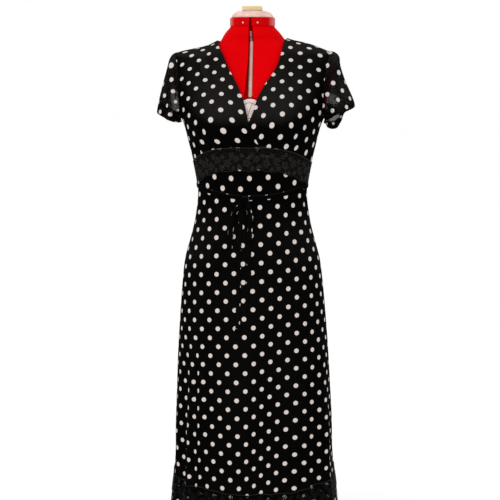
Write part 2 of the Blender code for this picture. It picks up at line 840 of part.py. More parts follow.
def strap(name, line, lift, rows):
    """Tie end hanging on the skirt: its middle line is a table of heights and x."""
    table = tuple(sorted(line))
    high = table[-1][0]
    low = table[0][0]

    def place(u, v, layer):
        height = low + (high - low) * v
        x = smooth(table, height, 1) + TIE_WIDTH * (u - 0.5)
        return skin(angle_of(x, height), height, lift + WALL * layer, level=True)

    return finish(slab(1, rows, place), name, dress_parts, (0.012, 0.012, 0.013), 0.8)


def loop(name, line, lift):
    """Drooping bow loop: one strip down in front, round its foot and up behind."""
    table = tuple(sorted(line))
    high = table[-1][0]
    low = table[0][0]
    rows = 8
    turn_rows = 6
    apart = 0.0042

    def place(u, v, layer):
        step = v * (2 * rows + turn_rows)
        inner = WALL * (1.0 - layer)
        if step <= rows:
            height = high + (low - high) * step / rows
            out = lift + apart + WALL - inner
        elif step >= rows + turn_rows:
            height = low + (high - low) * (step - rows - turn_rows) / rows
            out = lift + inner
        else:
            around = math.pi * (step - rows) / turn_rows
            radius = 0.5 * (apart + WALL) - inner
            height = low - radius * math.sin(around)
            out = lift + 0.5 * (apart + WALL) + radius * math.cos(around)
        x = smooth(table, max(height, low), 1) + TIE_WIDTH * (u - 0.5)
        return skin(angle_of(x, height), height, out, level=True)

    bm = slab(1, 2 * rows + turn_rows, place)
    return finish(bm, name, dress_parts, (0.012, 0.012, 0.013), 0.8)


def ties():
    """The two ties along the waist seam, the knot, the loops and the hanging ends."""
    knot_left = KNOT_X - 0.5 * KNOT_SIZE[0] - 2.0 * SEAM_GAP
    knot_right = KNOT_X + 0.5 * KNOT_SIZE[0] + 2.0 * SEAM_GAP
    for name, start, stop in (("tie_right", -TIE_START, knot_left), ("tie_left", TIE_START, knot_right)):
        end_angle = angle_of(abs(stop), WAIST_FRONT) * (1.0 if stop > 0.0 else -1.0)

        def spot(u, v, start=start, end_angle=end_angle):
            angle = start + (end_angle - start) * u
            height = waist_seam(angle) - 0.0015 + TIE_WIDTH * (v - 0.5)
            over_lace = LAYER * ramp((abs(angle) - 60.0) / 12.0)
            return (angle, height, over_lace)

        cloth(name, 16, 2, spot, LAYER)
    face = skin(angle_of(KNOT_X, KNOT_Z), KNOT_Z, SEAM_GAP)
    centre = (KNOT_X, face.y - 0.5 * KNOT_SIZE[1] - 0.0007, KNOT_Z)
    rounded_block("tie_knot", KNOT_SIZE, centre, (0.012, 0.012, 0.013), 0.8, dress_parts, 0.0032)
    strap("tail_right", TAIL_OF_RIGHT_TIE, TAIL_LIFT, 16)
    strap("tail_left", TAIL_OF_LEFT_TIE, TAIL_LIFT, 15)
    loop("bow_loop_right", LOOP_OF_RIGHT_TIE, TAIL_LIFT + WALL + 2.0 * SEAM_GAP)
    loop("bow_loop_left", LOOP_OF_LEFT_TIE, TAIL_LIFT + WALL + 2.0 * SEAM_GAP)
    x = TAIL_OF_RIGHT_TIE[-1][1]
    height = TAIL_OF_RIGHT_TIE[-1][0] - 0.5 * END_KNOT_SIZE[2] - SEAM_GAP
    face = skin(angle_of(x, height), height, SEAM_GAP)
    centre = (x, face.y - 0.5 * END_KNOT_SIZE[1] - 0.0006, height)
    rounded_block("tail_end_knot", END_KNOT_SIZE, centre, (0.012, 0.012, 0.013), 0.8, dress_parts, 0.0022)


def form_inset(height):
    """How far the form's face lies inside the dress's outer face."""
    shoulder = (SHOULDER_INSET - FORM_INSET) * ramp((height - 1.26) / 0.06)
    return (FORM_INSET + shoulder) * (1.0 - ramp((height - 1.417) / 0.027))


def arm_plate(angle, height):
    """How far the arm plates stand out of the torso."""
    away = (abs(angle - 180.0) - 90.0) / PLATE_WIDE
    level = (height - PLATE_HEIGHT) / PLATE_TALL
    return PLATE_RISE * math.exp(-(away * away) - level * level)


def form_torso():
    """Red torso with its neck, cut by the front slot and the window of the adjuster."""
    count = len(FORM_LEVELS) - 1
    bm = bmesh.new()
    bmesh.ops.create_grid(bm, x_segments=FORM_COLUMNS, y_segments=count, size=0.5)
    for vert in bm.verts:
        height, rounding = FORM_LEVELS[round((vert.co.y + 0.5) * count)]
        angle = 360.0 * (vert.co.x + 0.5)
        inset = form_inset(height) + rounding - arm_plate(angle, height)
        vert.co = skin(angle, height, -inset - 1e-9, folded=False, level=height < 1.30 or height > 1.44)
    bmesh.ops.remove_doubles(bm, verts=bm.verts, dist=0.00001)
    bmesh.ops.holes_fill(bm, edges=bm.edges)
    torso = finish(bm, "form_torso", form_parts, (0.72, 0.0, 0.006), 0.75)

    levels = len(SLOT) - 1

    def slot_place(u, v, layer):
        row = SLOT[round(v * levels)]
        x = row[1] + (row[2] - row[1]) * u
        y = row[3] if layer > 0.5 else -0.250
        return Vector((x, y, row[0]))

    slot = finish(slab(1, levels, slot_place), "slot_cutter", cutters, (0.5, 0.5, 0.5), 0.5)
    slope = dial_slope()

    def window_place(u, v, layer):
        x = WINDOW_X[0] + (WINDOW_X[1] - WINDOW_X[0]) * u
        height = WINDOW_Z[0] + (WINDOW_Z[1] - WINDOW_Z[0]) * v
        behind = (0.5 * DIAL_DEPTH + SEAM_GAP) * math.sqrt(1.0 + slope * slope)
        floor = dial_middle() + slope * (height - DIAL_Z) + behind
        return Vector((x, floor if layer > 0.5 else -0.250, height))

    window_block = finish(slab(1, 1, window_place), "window_cutter", cutters, (0.5, 0.5, 0.5), 0.5)
    for cutter in (slot, window_block):
        cutter.hide_render = True
        cutter.display_type = "WIRE"
        cut = torso.modifiers.new("cut_" + cutter.name, "BOOLEAN")
        cut.operation = "DIFFERENCE"
        cut.solver = "EXACT"
        cut.object = cutter


def form_front_at(height):
    """y of the form's face at its middle."""
    return skin(0.0, height, -form_inset(height) - 1e-9, folded=False, level=height < 1.30 or height > 1.44).y


def dial_slope():
    """Lean of the form's face where the dial sits."""
    return (form_front_at(DIAL_Z + 0.015) - form_front_at(DIAL_Z - 0.015)) / 0.030


def dial_middle():
    """y of the dial's middle."""
    return form_front_at(DIAL_Z) + 0.5 * DIAL_DEPTH + 0.0004


def slot_bar(name, top, foot, width, middles, recess, colour):
    """Part of the slider bar that stands in the slot; middles are its x at the foot and the top."""
    rows = 5

    def place(u, v, layer):
        height = foot + (top - foot) * v
        x = middles[0] + (middles[1] - middles[0]) * v + width * (u - 0.5)
        face = form_front_at(min(height, 1.440)) + recess
        return Vector((x, face + BAR_DEPTH * (1.0 - layer), height))

    return finish(slab(1, rows, place), name, form_parts, colour, 0.4)


def form_fittings():
    """Slider bar, dial, collar halves, rivets, neck cap and the block on top."""
    slot_bar("form_bar", BAR_TOP, BAR_FOOT, BAR_WIDTH, (0.0018, 0.0004), 0.0060, (0.80, 0.66, 0.62))
    slot_bar(
        "form_bar_tip", BAR_TIP_TOP, BAR_TOP + SEAM_GAP, BAR_TIP_WIDTH, (0.0005, -0.0006), 0.0075, (0.10, 0.03, 0.02),
    )

    dial = bmesh.new()
    bmesh.ops.create_cone(
        dial, cap_ends=True, segments=24, radius1=DIAL_RADIUS, radius2=DIAL_RADIUS, depth=DIAL_DEPTH,
    )
    rims = [edge for edge in dial.edges if abs(edge.verts[0].co.z - edge.verts[1].co.z) < 1e-6]
    bmesh.ops.bevel(dial, geom=rims, offset=0.0012, segments=2, profile=0.5, affect="EDGES")
    tilt = math.radians(90.0) - math.atan(dial_slope())
    bmesh.ops.rotate(dial, cent=(0, 0, 0), matrix=Matrix.Rotation(tilt, 3, "X"), verts=dial.verts)
    bmesh.ops.translate(dial, vec=(DIAL_X, dial_middle(), DIAL_Z), verts=dial.verts)
    finish(dial, "form_dial", form_parts, (0.88, 0.74, 0.70), 0.35)

    for side, name, end, rivet_turn in (
        (-1.0, "form_collar_right", COLLAR_ENDS[0], RIVET_TURNS[0]),
        (1.0, "form_collar_left", COLLAR_ENDS[1], RIVET_TURNS[1]),
    ):
        def place(u, v, layer, side=side, end=end):
            turn = math.radians(side * (end + (179.6 - end) * u))
            radius = COLLAR_INNER + (COLLAR_OUTER - COLLAR_INNER) * layer
            height = COLLAR_FOOT + 0.0004 + (COLLAR_TOP - COLLAR_FOOT) * v
            return Vector((radius * math.sin(turn), -radius * math.cos(turn), height))

        finish(slab(20, 1, place), name, form_parts, (0.70, 0.0, 0.006), 0.35)
        rivet = bmesh.new()
        bmesh.ops.create_cone(
            rivet, cap_ends=True, segments=16, radius1=RIVET_RADIUS, radius2=0.0013, depth=0.0012,
        )
        bmesh.ops.rotate(rivet, cent=(0, 0, 0), matrix=Matrix.Rotation(math.radians(90.0), 3, "X"), verts=rivet.verts)
        turn = math.radians(side * rivet_turn)
        bmesh.ops.rotate(rivet, cent=(0, 0, 0), matrix=Matrix.Rotation(turn, 3, "Z"), verts=rivet.verts)
        away = COLLAR_OUTER + SEAM_GAP + 0.0006
        bmesh.ops.translate(rivet, vec=(away * math.sin(turn), -away * math.cos(turn), RIVET_Z), verts=rivet.verts)
        finish(rivet, name.replace("collar", "rivet"), form_parts, (0.75, 0.74, 0.72), 0.25, 1.0)

    foot = FORM_TOP + SEAM_GAP
    profile = (
        (0.0, foot + 0.0170), (0.0270, foot + 0.0170), (0.0370, foot + 0.0152), (0.0440, foot + 0.0120),
        (0.0490, foot + 0.0075), (CAP_RADIUS, foot + 0.0020), (CAP_RADIUS, foot), (0.0, foot),
    )
    turned("form_neck_cap", profile, 28, (0.82, 0.62, 0.58), 0.4)
    centre = (-0.0007, 0.0, foot + 0.0170 + SEAM_GAP + 0.5 * BLOCK_SIZE[2])
    rounded_block("form_top_block", BLOCK_SIZE, centre, (0.80, 0.68, 0.42), 0.5, form_parts, 0.0020)


def turned(name, profile, steps, colour, roughness, metallic=0.0):
    """Turned solid about the Z axis from a profile of radius and height."""
    mesh = bpy.data.meshes.new(name)
    points = [(radius, 0.0, height) for radius, height in profile]
    mesh.from_pydata(points, [(index, index + 1) for index in range(len(points) - 1)], [])
    made = bpy.data.objects.new(name, mesh)
    form_parts.objects.link(made)
    made.data.materials.append(material(name, colour, roughness, metallic))
    spin = made.modifiers.new("turn", "SCREW")
    spin.axis = "Z"
    spin.steps = steps
    spin.render_steps = steps
    spin.use_merge_vertices = True
    spin.merge_threshold = 0.00005
    spin.use_smooth_shade = False
    return made


def stand():
    """Pole, hub, four legs and their flat pads."""
    turned(
        "stand_pole",
        ((0.0, FORM_BOTTOM - SEAM_GAP), (POLE_RADIUS, FORM_BOTTOM - SEAM_GAP),
         (POLE_RADIUS, HUB_TOP + SEAM_GAP), (0.0, HUB_TOP + SEAM_GAP)),
        20, (0.45, 0.45, 0.46), 0.3, 1.0,
    )
    turned(
        "stand_hub",
        ((0.0, HUB_TOP), (HUB_RADIUS - 0.006, HUB_TOP), (HUB_RADIUS, HUB_TOP - 0.006),
         (HUB_RADIUS, HUB_FOOT), (0.0, HUB_FOOT)),
        20, (0.03, 0.03, 0.03), 0.5,
    )
    inner = HUB_RADIUS + SEAM_GAP
    for name, direction in (("left", (1, 0)), ("right", (-1, 0)), ("back", (0, 1)), ("front", (0, -1))):
        def place(u, v, layer, direction=direction):
            along = inner + 0.0006 + (LEG_REACH - inner) * u
            across = LEG_WIDTH * (v - 0.5) * (1.0 - 0.25 * u)
            drop = (HUB_FOOT + 0.020 - PAD_HEIGHT - SEAM_GAP) * u ** 1.6
            low = HUB_FOOT + 0.020 - drop
            height = low + LEG_HEIGHT * layer * (1.0 - 0.45 * u)
            return Vector((
                direction[0] * along - direction[1] * across,
                direction[1] * along + direction[0] * across,
                height,
            ))

        finish(slab(8, 1, place), "stand_leg_" + name, form_parts, (0.03, 0.03, 0.03), 0.5)
        pad = bmesh.new()
        bmesh.ops.create_cone(
            pad, cap_ends=True, segments=20, radius1=PAD_RADIUS, radius2=PAD_RADIUS - 0.003, depth=PAD_HEIGHT,
        )
        reach = LEG_REACH - 0.5 * PAD_RADIUS
        bmesh.ops.translate(
            pad, vec=(direction[0] * reach, direction[1] * reach, 0.5 * PAD_HEIGHT), verts=pad.verts,
        )
        finish(pad, "stand_pad_" + name, form_parts, (0.02, 0.02, 0.02), 0.8)


for old in list(bpy.data.objects):
    bpy.data.objects.remove(old)
dress_parts = new_collection("polka_dot_dress")
form_parts = new_collection("dress_form")
cutters = new_collection("cutters")

bodice_fronts()
bodice_back()
midriff_and_lace()
skirts()
sleeves()
ties()
form_torso()
form_fittings()
stand()
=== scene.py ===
"""Looks of a black polka dot dress on its red limbless dress form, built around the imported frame.

Metres, +Z up, the front of the dress faces -Y and the wearer's right is at -X. Every cloth piece is a
thin shell on the skin that its solid has, with finer creases, and carries its own cut as a flat map in
metres, so that dots, weave and lace keep their real size.
"""
import math

import bmesh
import bpy
import numpy as np
from mathutils import Matrix, Vector


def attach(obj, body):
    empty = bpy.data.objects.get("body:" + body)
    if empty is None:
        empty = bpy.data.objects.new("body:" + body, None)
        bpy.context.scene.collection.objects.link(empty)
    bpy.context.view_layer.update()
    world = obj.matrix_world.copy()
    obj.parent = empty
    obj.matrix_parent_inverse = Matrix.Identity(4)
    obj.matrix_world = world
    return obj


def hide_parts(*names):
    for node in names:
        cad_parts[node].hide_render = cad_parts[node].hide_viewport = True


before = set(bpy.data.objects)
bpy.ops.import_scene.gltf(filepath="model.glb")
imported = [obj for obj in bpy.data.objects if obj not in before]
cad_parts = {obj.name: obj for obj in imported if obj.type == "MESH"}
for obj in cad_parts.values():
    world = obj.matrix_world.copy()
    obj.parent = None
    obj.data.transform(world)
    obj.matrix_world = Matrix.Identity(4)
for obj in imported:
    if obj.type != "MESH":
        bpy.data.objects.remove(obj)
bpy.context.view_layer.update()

bl_info = {
    "name": "Polka Dot Dress on a Dress Form",
    "version": (1, 0, 0),
    "blender": (4, 5, 0),
    "location": "3D View > Sidebar > Dress",
    "description": "Builds the cloth, lace, form, stand and studio of a polka dot dress",
    "category": "Add Mesh",
}

# Cloth skin: height, half width, front depth, back depth, middle in x
SECTIONS = (
    (0.160, 0.2275, 0.209, 0.207, 0.0045),
    (0.216, 0.2215, 0.204, 0.202, 0.0045),
    (0.266, 0.2155, 0.200, 0.198, 0.0045),
    (0.300, 0.2110, 0.196, 0.195, 0.0040),
    (0.350, 0.2072, 0.190, 0.189, 0.0040),
    (0.433, 0.2058, 0.181, 0.181, 0.0035),
    (0.531, 0.2010, 0.169, 0.171, 0.0030),
    (0.628, 0.1958, 0.156, 0.160, 0.0020),
    (0.725, 0.1886, 0.143, 0.149, 0.0010),
    (0.804, 0.1815, 0.132, 0.140, 0.0005),
    (0.867, 0.1735, 0.124, 0.133, 0.0000),
    (0.914, 0.1610, 0.118, 0.124, 0.0000),
    (0.961, 0.1490, 0.111, 0.111, 0.0000),
    (1.007, 0.1416, 0.105, 0.100, 0.0000),
    (1.038, 0.1390, 0.103, 0.094, 0.0000),
    (1.069, 0.1415, 0.104, 0.092, 0.0000),
    (1.115, 0.1500, 0.110, 0.096, 0.0000),
    (1.160, 0.1605, 0.120, 0.102, 0.0000),
    (1.206, 0.1720, 0.128, 0.107, 0.0000),
    (1.240, 0.1850, 0.124, 0.108, 0.0000),
    (1.290, 0.1965, 0.107, 0.104, 0.0000),
    (1.340, 0.1995, 0.088, 0.092, 0.0000),
    (1.372, 0.1990, 0.076, 0.079, 0.0000),
    (1.388, 0.1930, 0.070, 0.072, 0.0000),
    (1.400, 0.1640, 0.066, 0.067, 0.0000),
    (1.410, 0.1340, 0.063, 0.064, 0.0000),
    (1.417, 0.1070, 0.061, 0.062, 0.0000),
    (1.423, 0.0880, 0.060, 0.061, 0.0000),
    (1.430, 0.0785, 0.061, 0.062, 0.0000),
    (1.444, 0.0620, 0.057, 0.058, 0.0000),
    (1.4535, 0.0543, 0.0538, 0.0540, 0.0000),
    (1.476, 0.0533, 0.0533, 0.0533, 0.0000),
    (1.490, 0.0533, 0.0533, 0.0533, 0.0000),
)
# Unevenness of the shoulders: middle in x, half width, rise
SHOULDER_LEVELS = (
    (-0.125, 0.045, -0.0085),
    (0.150, 0.060, 0.0030),
)
BUST_HEIGHT = 1.203
BUST_SIDE = 0.085
BUST_PUSH = 0.031
BUST_WIDTH = 0.050
BUST_ABOVE = 0.072
BUST_BELOW = 0.048

# Skirt folds: angle from the front, half width in degrees, rise, height of the start
FOLDS = (
    (-67.0, 6.0, 0.006, 0.70),
    (-56.0, 5.0, -0.005, 0.76),
    (-46.0, 6.0, 0.012, 0.84),
    (-34.0, 6.0, -0.005, 0.78),
    (-8.0, 8.0, 0.007, 0.84),
    (10.0, 6.0, -0.005, 0.76),
    (32.0, 10.0, 0.004, 0.70),
    (53.0, 6.0, -0.006, 0.74),
    (67.0, 6.0, 0.009, 0.80),
    (108.0, 8.0, 0.008, 0.76),
    (124.0, 6.0, -0.005, 0.74),
    (142.0, 9.0, 0.009, 0.84),
    (160.0, 7.0, -0.006, 0.78),
    (178.0, 9.0, 0.008, 0.82),
    (197.0, 7.0, -0.006, 0.76),
    (214.0, 9.0, 0.009, 0.84),
    (233.0, 7.0, -0.005, 0.74),
    (251.0, 8.0, 0.007, 0.78),
)
FOLD_FULL_HEIGHT = 0.36

# Seams and edges
SEAM_GAP = 0.0003
SOLID_WALL = 0.0012
LAYER = SOLID_WALL + SEAM_GAP
WAIST_FRONT = 1.037
WAIST_BACK = 1.045
WAIST_SIDE = 1.059
BUST_SEAM_MIDDLE = 1.161
BUST_SEAM_DROP = 0.045
LACE_FOOT_MIDDLE = 1.103
LACE_FOOT_DROP = 0.043
HEM_SEAM = 0.284
HEM = 0.170
HEM_LACE_TOP = 0.303
HEM_LACE_FOOT = 0.247
SCALLOPS = 9
HEM_SCALLOPS = 12
SCALLOP_RISE = 0.005
WRAP_DROP = 0.0020
UNDERARM = 1.226
SHOULDER_TIP = 1.3905
NECK_POINT = 1.423
BACK_NECK = 1.398
BACK_NECK_SIDE = 0.084

# Wrapped edges of the fronts: height, distance of the right front's edge from the middle and of the left
# front's, each on its own side
WRAP_EDGES = (
    (1.161, -0.0275, -0.0275),
    (1.190, -0.0150, -0.0140),
    (1.222, -0.0015, 0.0015),
    (1.252, 0.0060, 0.0130),
    (1.282, 0.0160, 0.0215),
    (1.311, 0.0295, 0.0370),
    (1.347, 0.0500, 0.0610),
    (1.383, 0.0665, 0.0745),
    (1.405, 0.0785, 0.0785),
)
EDGE_AT_SHOULDER = ((0.0805, 1.4140), (0.0830, 1.4195), (0.0880, 1.4230))

# Armhole from the underarm to the shoulder tip: place in the run, angle from the front of its front half and
# of its back half, height
ARMHOLE = (
    (0.0, 90.0, 90.0, 1.2260),
    (1.0, 76.0, 104.0, 1.2370),
    (2.0, 68.5, 112.0, 1.2620),
    (3.0, 66.0, 115.0, 1.3000),
    (4.0, 67.0, 113.0, 1.3400),
    (5.0, 71.0, 109.0, 1.3660),
    (6.0, 78.0, 102.0, 1.3820),
    (7.0, 90.0, 90.0, 1.3905),
)

# Sleeve hems: share of the way round from the underarm over the front, x outward, y, z
HEM_OF_RIGHT_SLEEVE = (
    (0.000, 0.1810, 0.000, 1.2150),
    (0.125, 0.1870, -0.046, 1.2165),
    (0.250, 0.2020, -0.060, 1.2210),
    (0.375, 0.2215, -0.042, 1.2290),
    (0.440, 0.2330, -0.024, 1.2350),
    (0.500, 0.2430, 0.000, 1.2420),
    (0.560, 0.2390, 0.024, 1.2430),
    (0.625, 0.2295, 0.042, 1.2345),
    (0.750, 0.2120, 0.060, 1.2240),
    (0.875, 0.1950, 0.044, 1.2180),
    (1.000, 0.1810, 0.000, 1.2150),
)
HEM_OF_LEFT_SLEEVE = (
    (0.000, 0.1800, 0.000, 1.2150),
    (0.125, 0.1890, -0.046, 1.2230),
    (0.250, 0.2110, -0.062, 1.2370),
    (0.375, 0.2360, -0.044, 1.2450),
    (0.440, 0.2460, -0.024, 1.2495),
    (0.500, 0.2575, 0.000, 1.2560),
    (0.560, 0.2440, 0.024, 1.2480),
    (0.620, 0.2280, 0.038, 1.2340),
    (0.680, 0.2220, 0.050, 1.2140),
    (0.740, 0.2140, 0.058, 1.2000),
    (0.800, 0.2000, 0.056, 1.1960),
    (0.890, 0.1870, 0.040, 1.2040),
    (1.000, 0.1800, 0.000, 1.2150),
)
# How far the gathered head of the right and the left sleeve stands out, and how far it falls in below
HEAD_PUFF = (0.0040, 0.0125)
HEAD_SLACK = (0.0000, 0.0045)
SLEEVE_STAND = 0.0010

# Tie, bow and hanging ends
TIE_WIDTH = 0.011
TIE_THICKNESS = 0.0013
TIE_START = 86.0
KNOT_X = -0.011
KNOT_Z = 1.0315
KNOT_SIZE = (0.018, 0.0085, 0.018)
TAIL_OF_RIGHT_TIE = ((0.715, -0.0265), (0.80, -0.0250), (0.90, -0.0240), (0.98, -0.0200), (1.022, -0.0165))
TAIL_OF_LEFT_TIE = ((0.748, -0.0075), (0.82, -0.0005), (0.90, 0.0015), (0.98, 0.0010), (1.022, -0.0030))
LOOP_OF_RIGHT_TIE = ((0.913, -0.0450), (0.965, -0.0425), (1.000, -0.0340), (1.022, -0.0180))
LOOP_OF_LEFT_TIE = ((0.930, 0.0020), (0.965, 0.0035), (1.000, 0.0015), (1.022, -0.0050))
LOOP_APART = 0.0042
TAIL_LIFT = 0.0008
END_KNOT_SIZE = (0.0110, 0.0060, 0.0100)

# Dress form
FORM_INSET = 0.0062
SHOULDER_INSET = 0.0080
FORM_BOTTOM = 0.795
FORM_TOP = 1.4738
# Rounded arm plates at the form's shoulders: height, half height, half width in degrees, rise
PLATE_HEIGHT = 1.345
PLATE_TALL = 0.033
PLATE_WIDE = 17.0
PLATE_RISE = 0.013
# Rounding of the torso's foot: height, inset
FORM_FOOT = ((0.795, 0.009), (0.800, 0.003), (0.812, 0.000), (1.490, 0.000))
# Slot in the form's front: height, its two edges in x, y of its floor
SLOT = (
    (1.2160, -0.0170, 0.0078, -0.1050),
    (1.2790, -0.0132, 0.0078, -0.0880),
    (1.3710, -0.0056, 0.0078, -0.0480),
    (1.4180, -0.0056, 0.0066, -0.0340),
    (1.4550, -0.0052, 0.0040, -0.0300),
    (1.4900, -0.0042, 0.0012, -0.0300),
)
# Window around the dial: its sides, its foot and its top
WINDOW_X = (-0.0285, 0.0335)
WINDOW_Z = (1.2180, 1.2812)
DIAL_RADIUS = 0.0290
DIAL_DEPTH = 0.0080
DIAL_X = 0.0025
DIAL_Z = 1.2500
DIAL_RING = 0.0185
BAR_WIDTH = 0.0102
BAR_DEPTH = 0.0050
BAR_TOP = 1.4170
BAR_FOOT = 1.2815
BAR_TIP_TOP = 1.4405
BAR_TIP_WIDTH = 0.0060
COLLAR_FOOT = 1.4539
COLLAR_TOP = 1.4734
COLLAR_INNER = 0.0546
COLLAR_OUTER = 0.0563
# Degrees from the front to the collar's ends and to the rivets, on the wearer's right and left
COLLAR_ENDS = (4.2, 1.8)
RIVET_TURNS = (20.2, 17.2)
RIVET_Z = 1.4610
# Radius of the neck cap and height above its foot; the first radius is a narrow core
CORE = 0.0002
CAP_DOME = (
    (CORE, 0.0), (0.0525, 0.0), (0.0525, 0.0020), (0.0490, 0.0075),
    (0.0440, 0.0120), (0.0370, 0.0152), (0.0270, 0.0170), (CORE, 0.0170),
)
TOP_BLOCK_SIZE = (0.0485, 0.0360, 0.0110)
# y in front of the whole form, where the slot's and the window's cuts begin
BEFORE_FORM = -0.250

# Stand
POLE_RADIUS = 0.0140
HUB_RADIUS = 0.0300
HUB_FOOT = 0.0350
HUB_TOP = 0.0850
LEG_REACH = 0.2750
PAD_RADIUS = 0.0190
PAD_HEIGHT = 0.0080
FLOOR_REACH = 40.0

# Soft creases of the bodice fronts, in the cut seen from the front:
# x and height of one end, x and height of the other, half width, rise
BODICE_CREASES = (
    (0.084, 1.402, 0.094, 1.245, 0.0085, 0.0022),
    (0.101, 1.398, 0.104, 1.290, 0.0075, -0.0016),
    (0.070, 1.340, 0.052, 1.235, 0.0080, 0.0014),
    (0.046, 1.262, 0.060, 1.190, 0.0090, -0.0012),
    (0.122, 1.330, 0.112, 1.240, 0.0110, 0.0016),
    (0.094, 1.216, 0.090, 1.160, 0.0045, -0.0022),
    (0.108, 1.205, 0.104, 1.150, 0.0070, 0.0016),
    (0.140, 1.212, 0.118, 1.172, 0.0070, -0.0014),
    (-0.134, 1.401, -0.112, 1.325, 0.0080, 0.0022),
    (-0.112, 1.402, -0.098, 1.300, 0.0075, -0.0016),
    (-0.090, 1.405, -0.080, 1.260, 0.0090, 0.0014),
    (-0.050, 1.300, -0.018, 1.200, 0.0085, -0.0010),
    (-0.117, 1.212, -0.112, 1.152, 0.0045, -0.0022),
    (-0.100, 1.200, -0.098, 1.148, 0.0070, 0.0016),
    (-0.150, 1.214, -0.126, 1.170, 0.0075, -0.0014),
    (-0.060, 1.196, -0.020, 1.168, 0.0060, 0.0009),
    (0.012, 1.196, 0.040, 1.168, 0.0060, 0.0009),
)
# The same on the back: angle and height of one end, of the other, half width, rise
BACK_CREASES = (
    (128.0, 1.380, 140.0, 1.230, 0.0110, 0.0018),
    (150.0, 1.130, 168.0, 1.075, 0.0090, -0.0014),
    (176.0, 1.390, 181.0, 1.240, 0.0130, -0.0012),
    (196.0, 1.120, 214.0, 1.068, 0.0085, 0.0015),
    (226.0, 1.385, 218.0, 1.220, 0.0120, 0.0017),
    (112.0, 1.150, 136.0, 1.090, 0.0085, 0.0013),
    (248.0, 1.160, 226.0, 1.095, 0.0090, 0.0014),
    (163.0, 1.300, 170.0, 1.180, 0.0120, 0.0010),
    (204.0, 1.290, 196.0, 1.170, 0.0120, 0.0011),
)
# The same on the skirt, all round
SKIRT_CREASES = (
    (-74.0, 1.045, -66.0, 0.900, 0.0075, 0.0016),
    (-58.0, 1.030, -52.0, 0.930, 0.0065, -0.0012),
    (-30.0, 1.010, -36.0, 0.850, 0.0090, 0.0011),
    (-20.0, 0.900, -24.0, 0.560, 0.0120, -0.0012),
    (-42.0, 0.600, -43.0, 0.290, 0.0055, -0.0032),
    (-37.5, 0.580, -38.5, 0.290, 0.0070, 0.0020),
    (2.0, 0.820, 0.0, 0.430, 0.0110, 0.0012),
    (20.0, 0.880, 22.0, 0.600, 0.0130, 0.0010),
    (41.0, 1.015, 44.0, 0.870, 0.0080, -0.0011),
    (62.0, 1.035, 57.0, 0.900, 0.0070, 0.0015),
    (76.0, 1.048, 70.0, 0.930, 0.0065, -0.0013),
    (40.0, 0.560, 42.0, 0.330, 0.0110, 0.0014),
    (-16.0, 0.540, -18.0, 0.320, 0.0100, 0.0012),
    (104.0, 1.040, 112.0, 0.880, 0.0080, 0.0014),
    (131.0, 1.030, 128.0, 0.860, 0.0090, -0.0012),
    (158.0, 1.030, 152.0, 0.800, 0.0110, 0.0012),
    (186.0, 0.950, 188.0, 0.700, 0.0120, -0.0010),
    (207.0, 1.030, 203.0, 0.840, 0.0085, 0.0013),
    (229.0, 1.035, 236.0, 0.870, 0.0080, -0.0012),
    (255.0, 1.045, 248.0, 0.900, 0.0075, 0.0015),
    (169.0, 0.560, 167.0, 0.320, 0.0110, 0.0013),
    (222.0, 0.600, 224.0, 0.330, 0.0120, -0.0012),
)

# How the printed cloth lies in each cut: turn in degrees, shift across and up, then how much shorter than
# the print the cut is across, up and aslant
DOT_LAY = {
    "bodice_front_right": (9.15, -0.0023, 0.0054, 1.059, 0.852, 0.093),
    "bodice_front_left": (15.94, 0.0035, -0.0025, 1.149, 0.811, -0.037),
    "bodice_back": (0.0, 0.010, 0.006, 1.0, 1.0, 0.0),
    "midriff_front": (-2.18, -0.0025, 0.0055, 0.960, 0.852, 0.0045),
    "skirt_front": (-2.16, -0.0035, -0.0133, 0.966, 1.035, -0.001),
    "skirt_back": (0.0, 0.004, 0.012, 1.0, 1.0, 0.0),
    "hem_flounce_front": (0.0, 0.013, 0.008, 1.0, 1.0, 0.0),
    "hem_flounce_back": (0.0, 0.021, 0.003, 1.0, 1.0, 0.0),
    "sleeve_right": (-13.5, -0.0018, -0.0188, 0.941, 0.996, 0.0),
    "sleeve_left": (-5.2, 0.0056, -0.0141, 1.099, 1.130, 0.0),
}
# How the print bows over the bust and the hips, per metre: shift across for width², width times height
# and height², then shift up for the same three
DOT_BOWS = {
    "bodice_front_right": (0.50, -0.53, -0.54, 1.46, 0.12, 0.85),
    "bodice_front_left": (0.70, -0.93, -0.01, 1.13, 0.53, 0.88),
    "skirt_front": (0.041, 0.035, -0.015, -0.023, -0.026, -0.045),
}
# Where deep folds pull the print aside: middle across and up, half width, half height, shift across, up
DOT_PULLS = {
    "skirt_front": ((0.090, -0.104, 0.132, 0.697, 0.0274, -0.0178),),
}
# Where a deep fold takes cloth in: place across at the foot and at its top, height of the top, length
# over which it deepens, half width, cloth taken in
DOT_TUCKS = {
    "skirt_front": ((-0.145, -0.133, 0.450, 0.153, 0.0085, 0.0186),),
}

LAYER_OF_CLOTH = 0.0008
LAYER_OF_LACE = 0.0006
LAYER_OF_CHIFFON = 0.0006
# Seam allowances: width, thickness and distance behind the cloth
ALLOWANCE_WIDTH = 0.0060
ALLOWANCE_LAYER = 0.0004
ALLOWANCE_BEHIND = 0.0003

# Darts under the bust: piece, column share from the side seam, length
DARTS = {
    "bodice_front_right": ((0.335, 0.062), (0.205, 0.040)),
    "bodice_front_left": ((0.480, 0.066), (0.270, 0.042)),
}
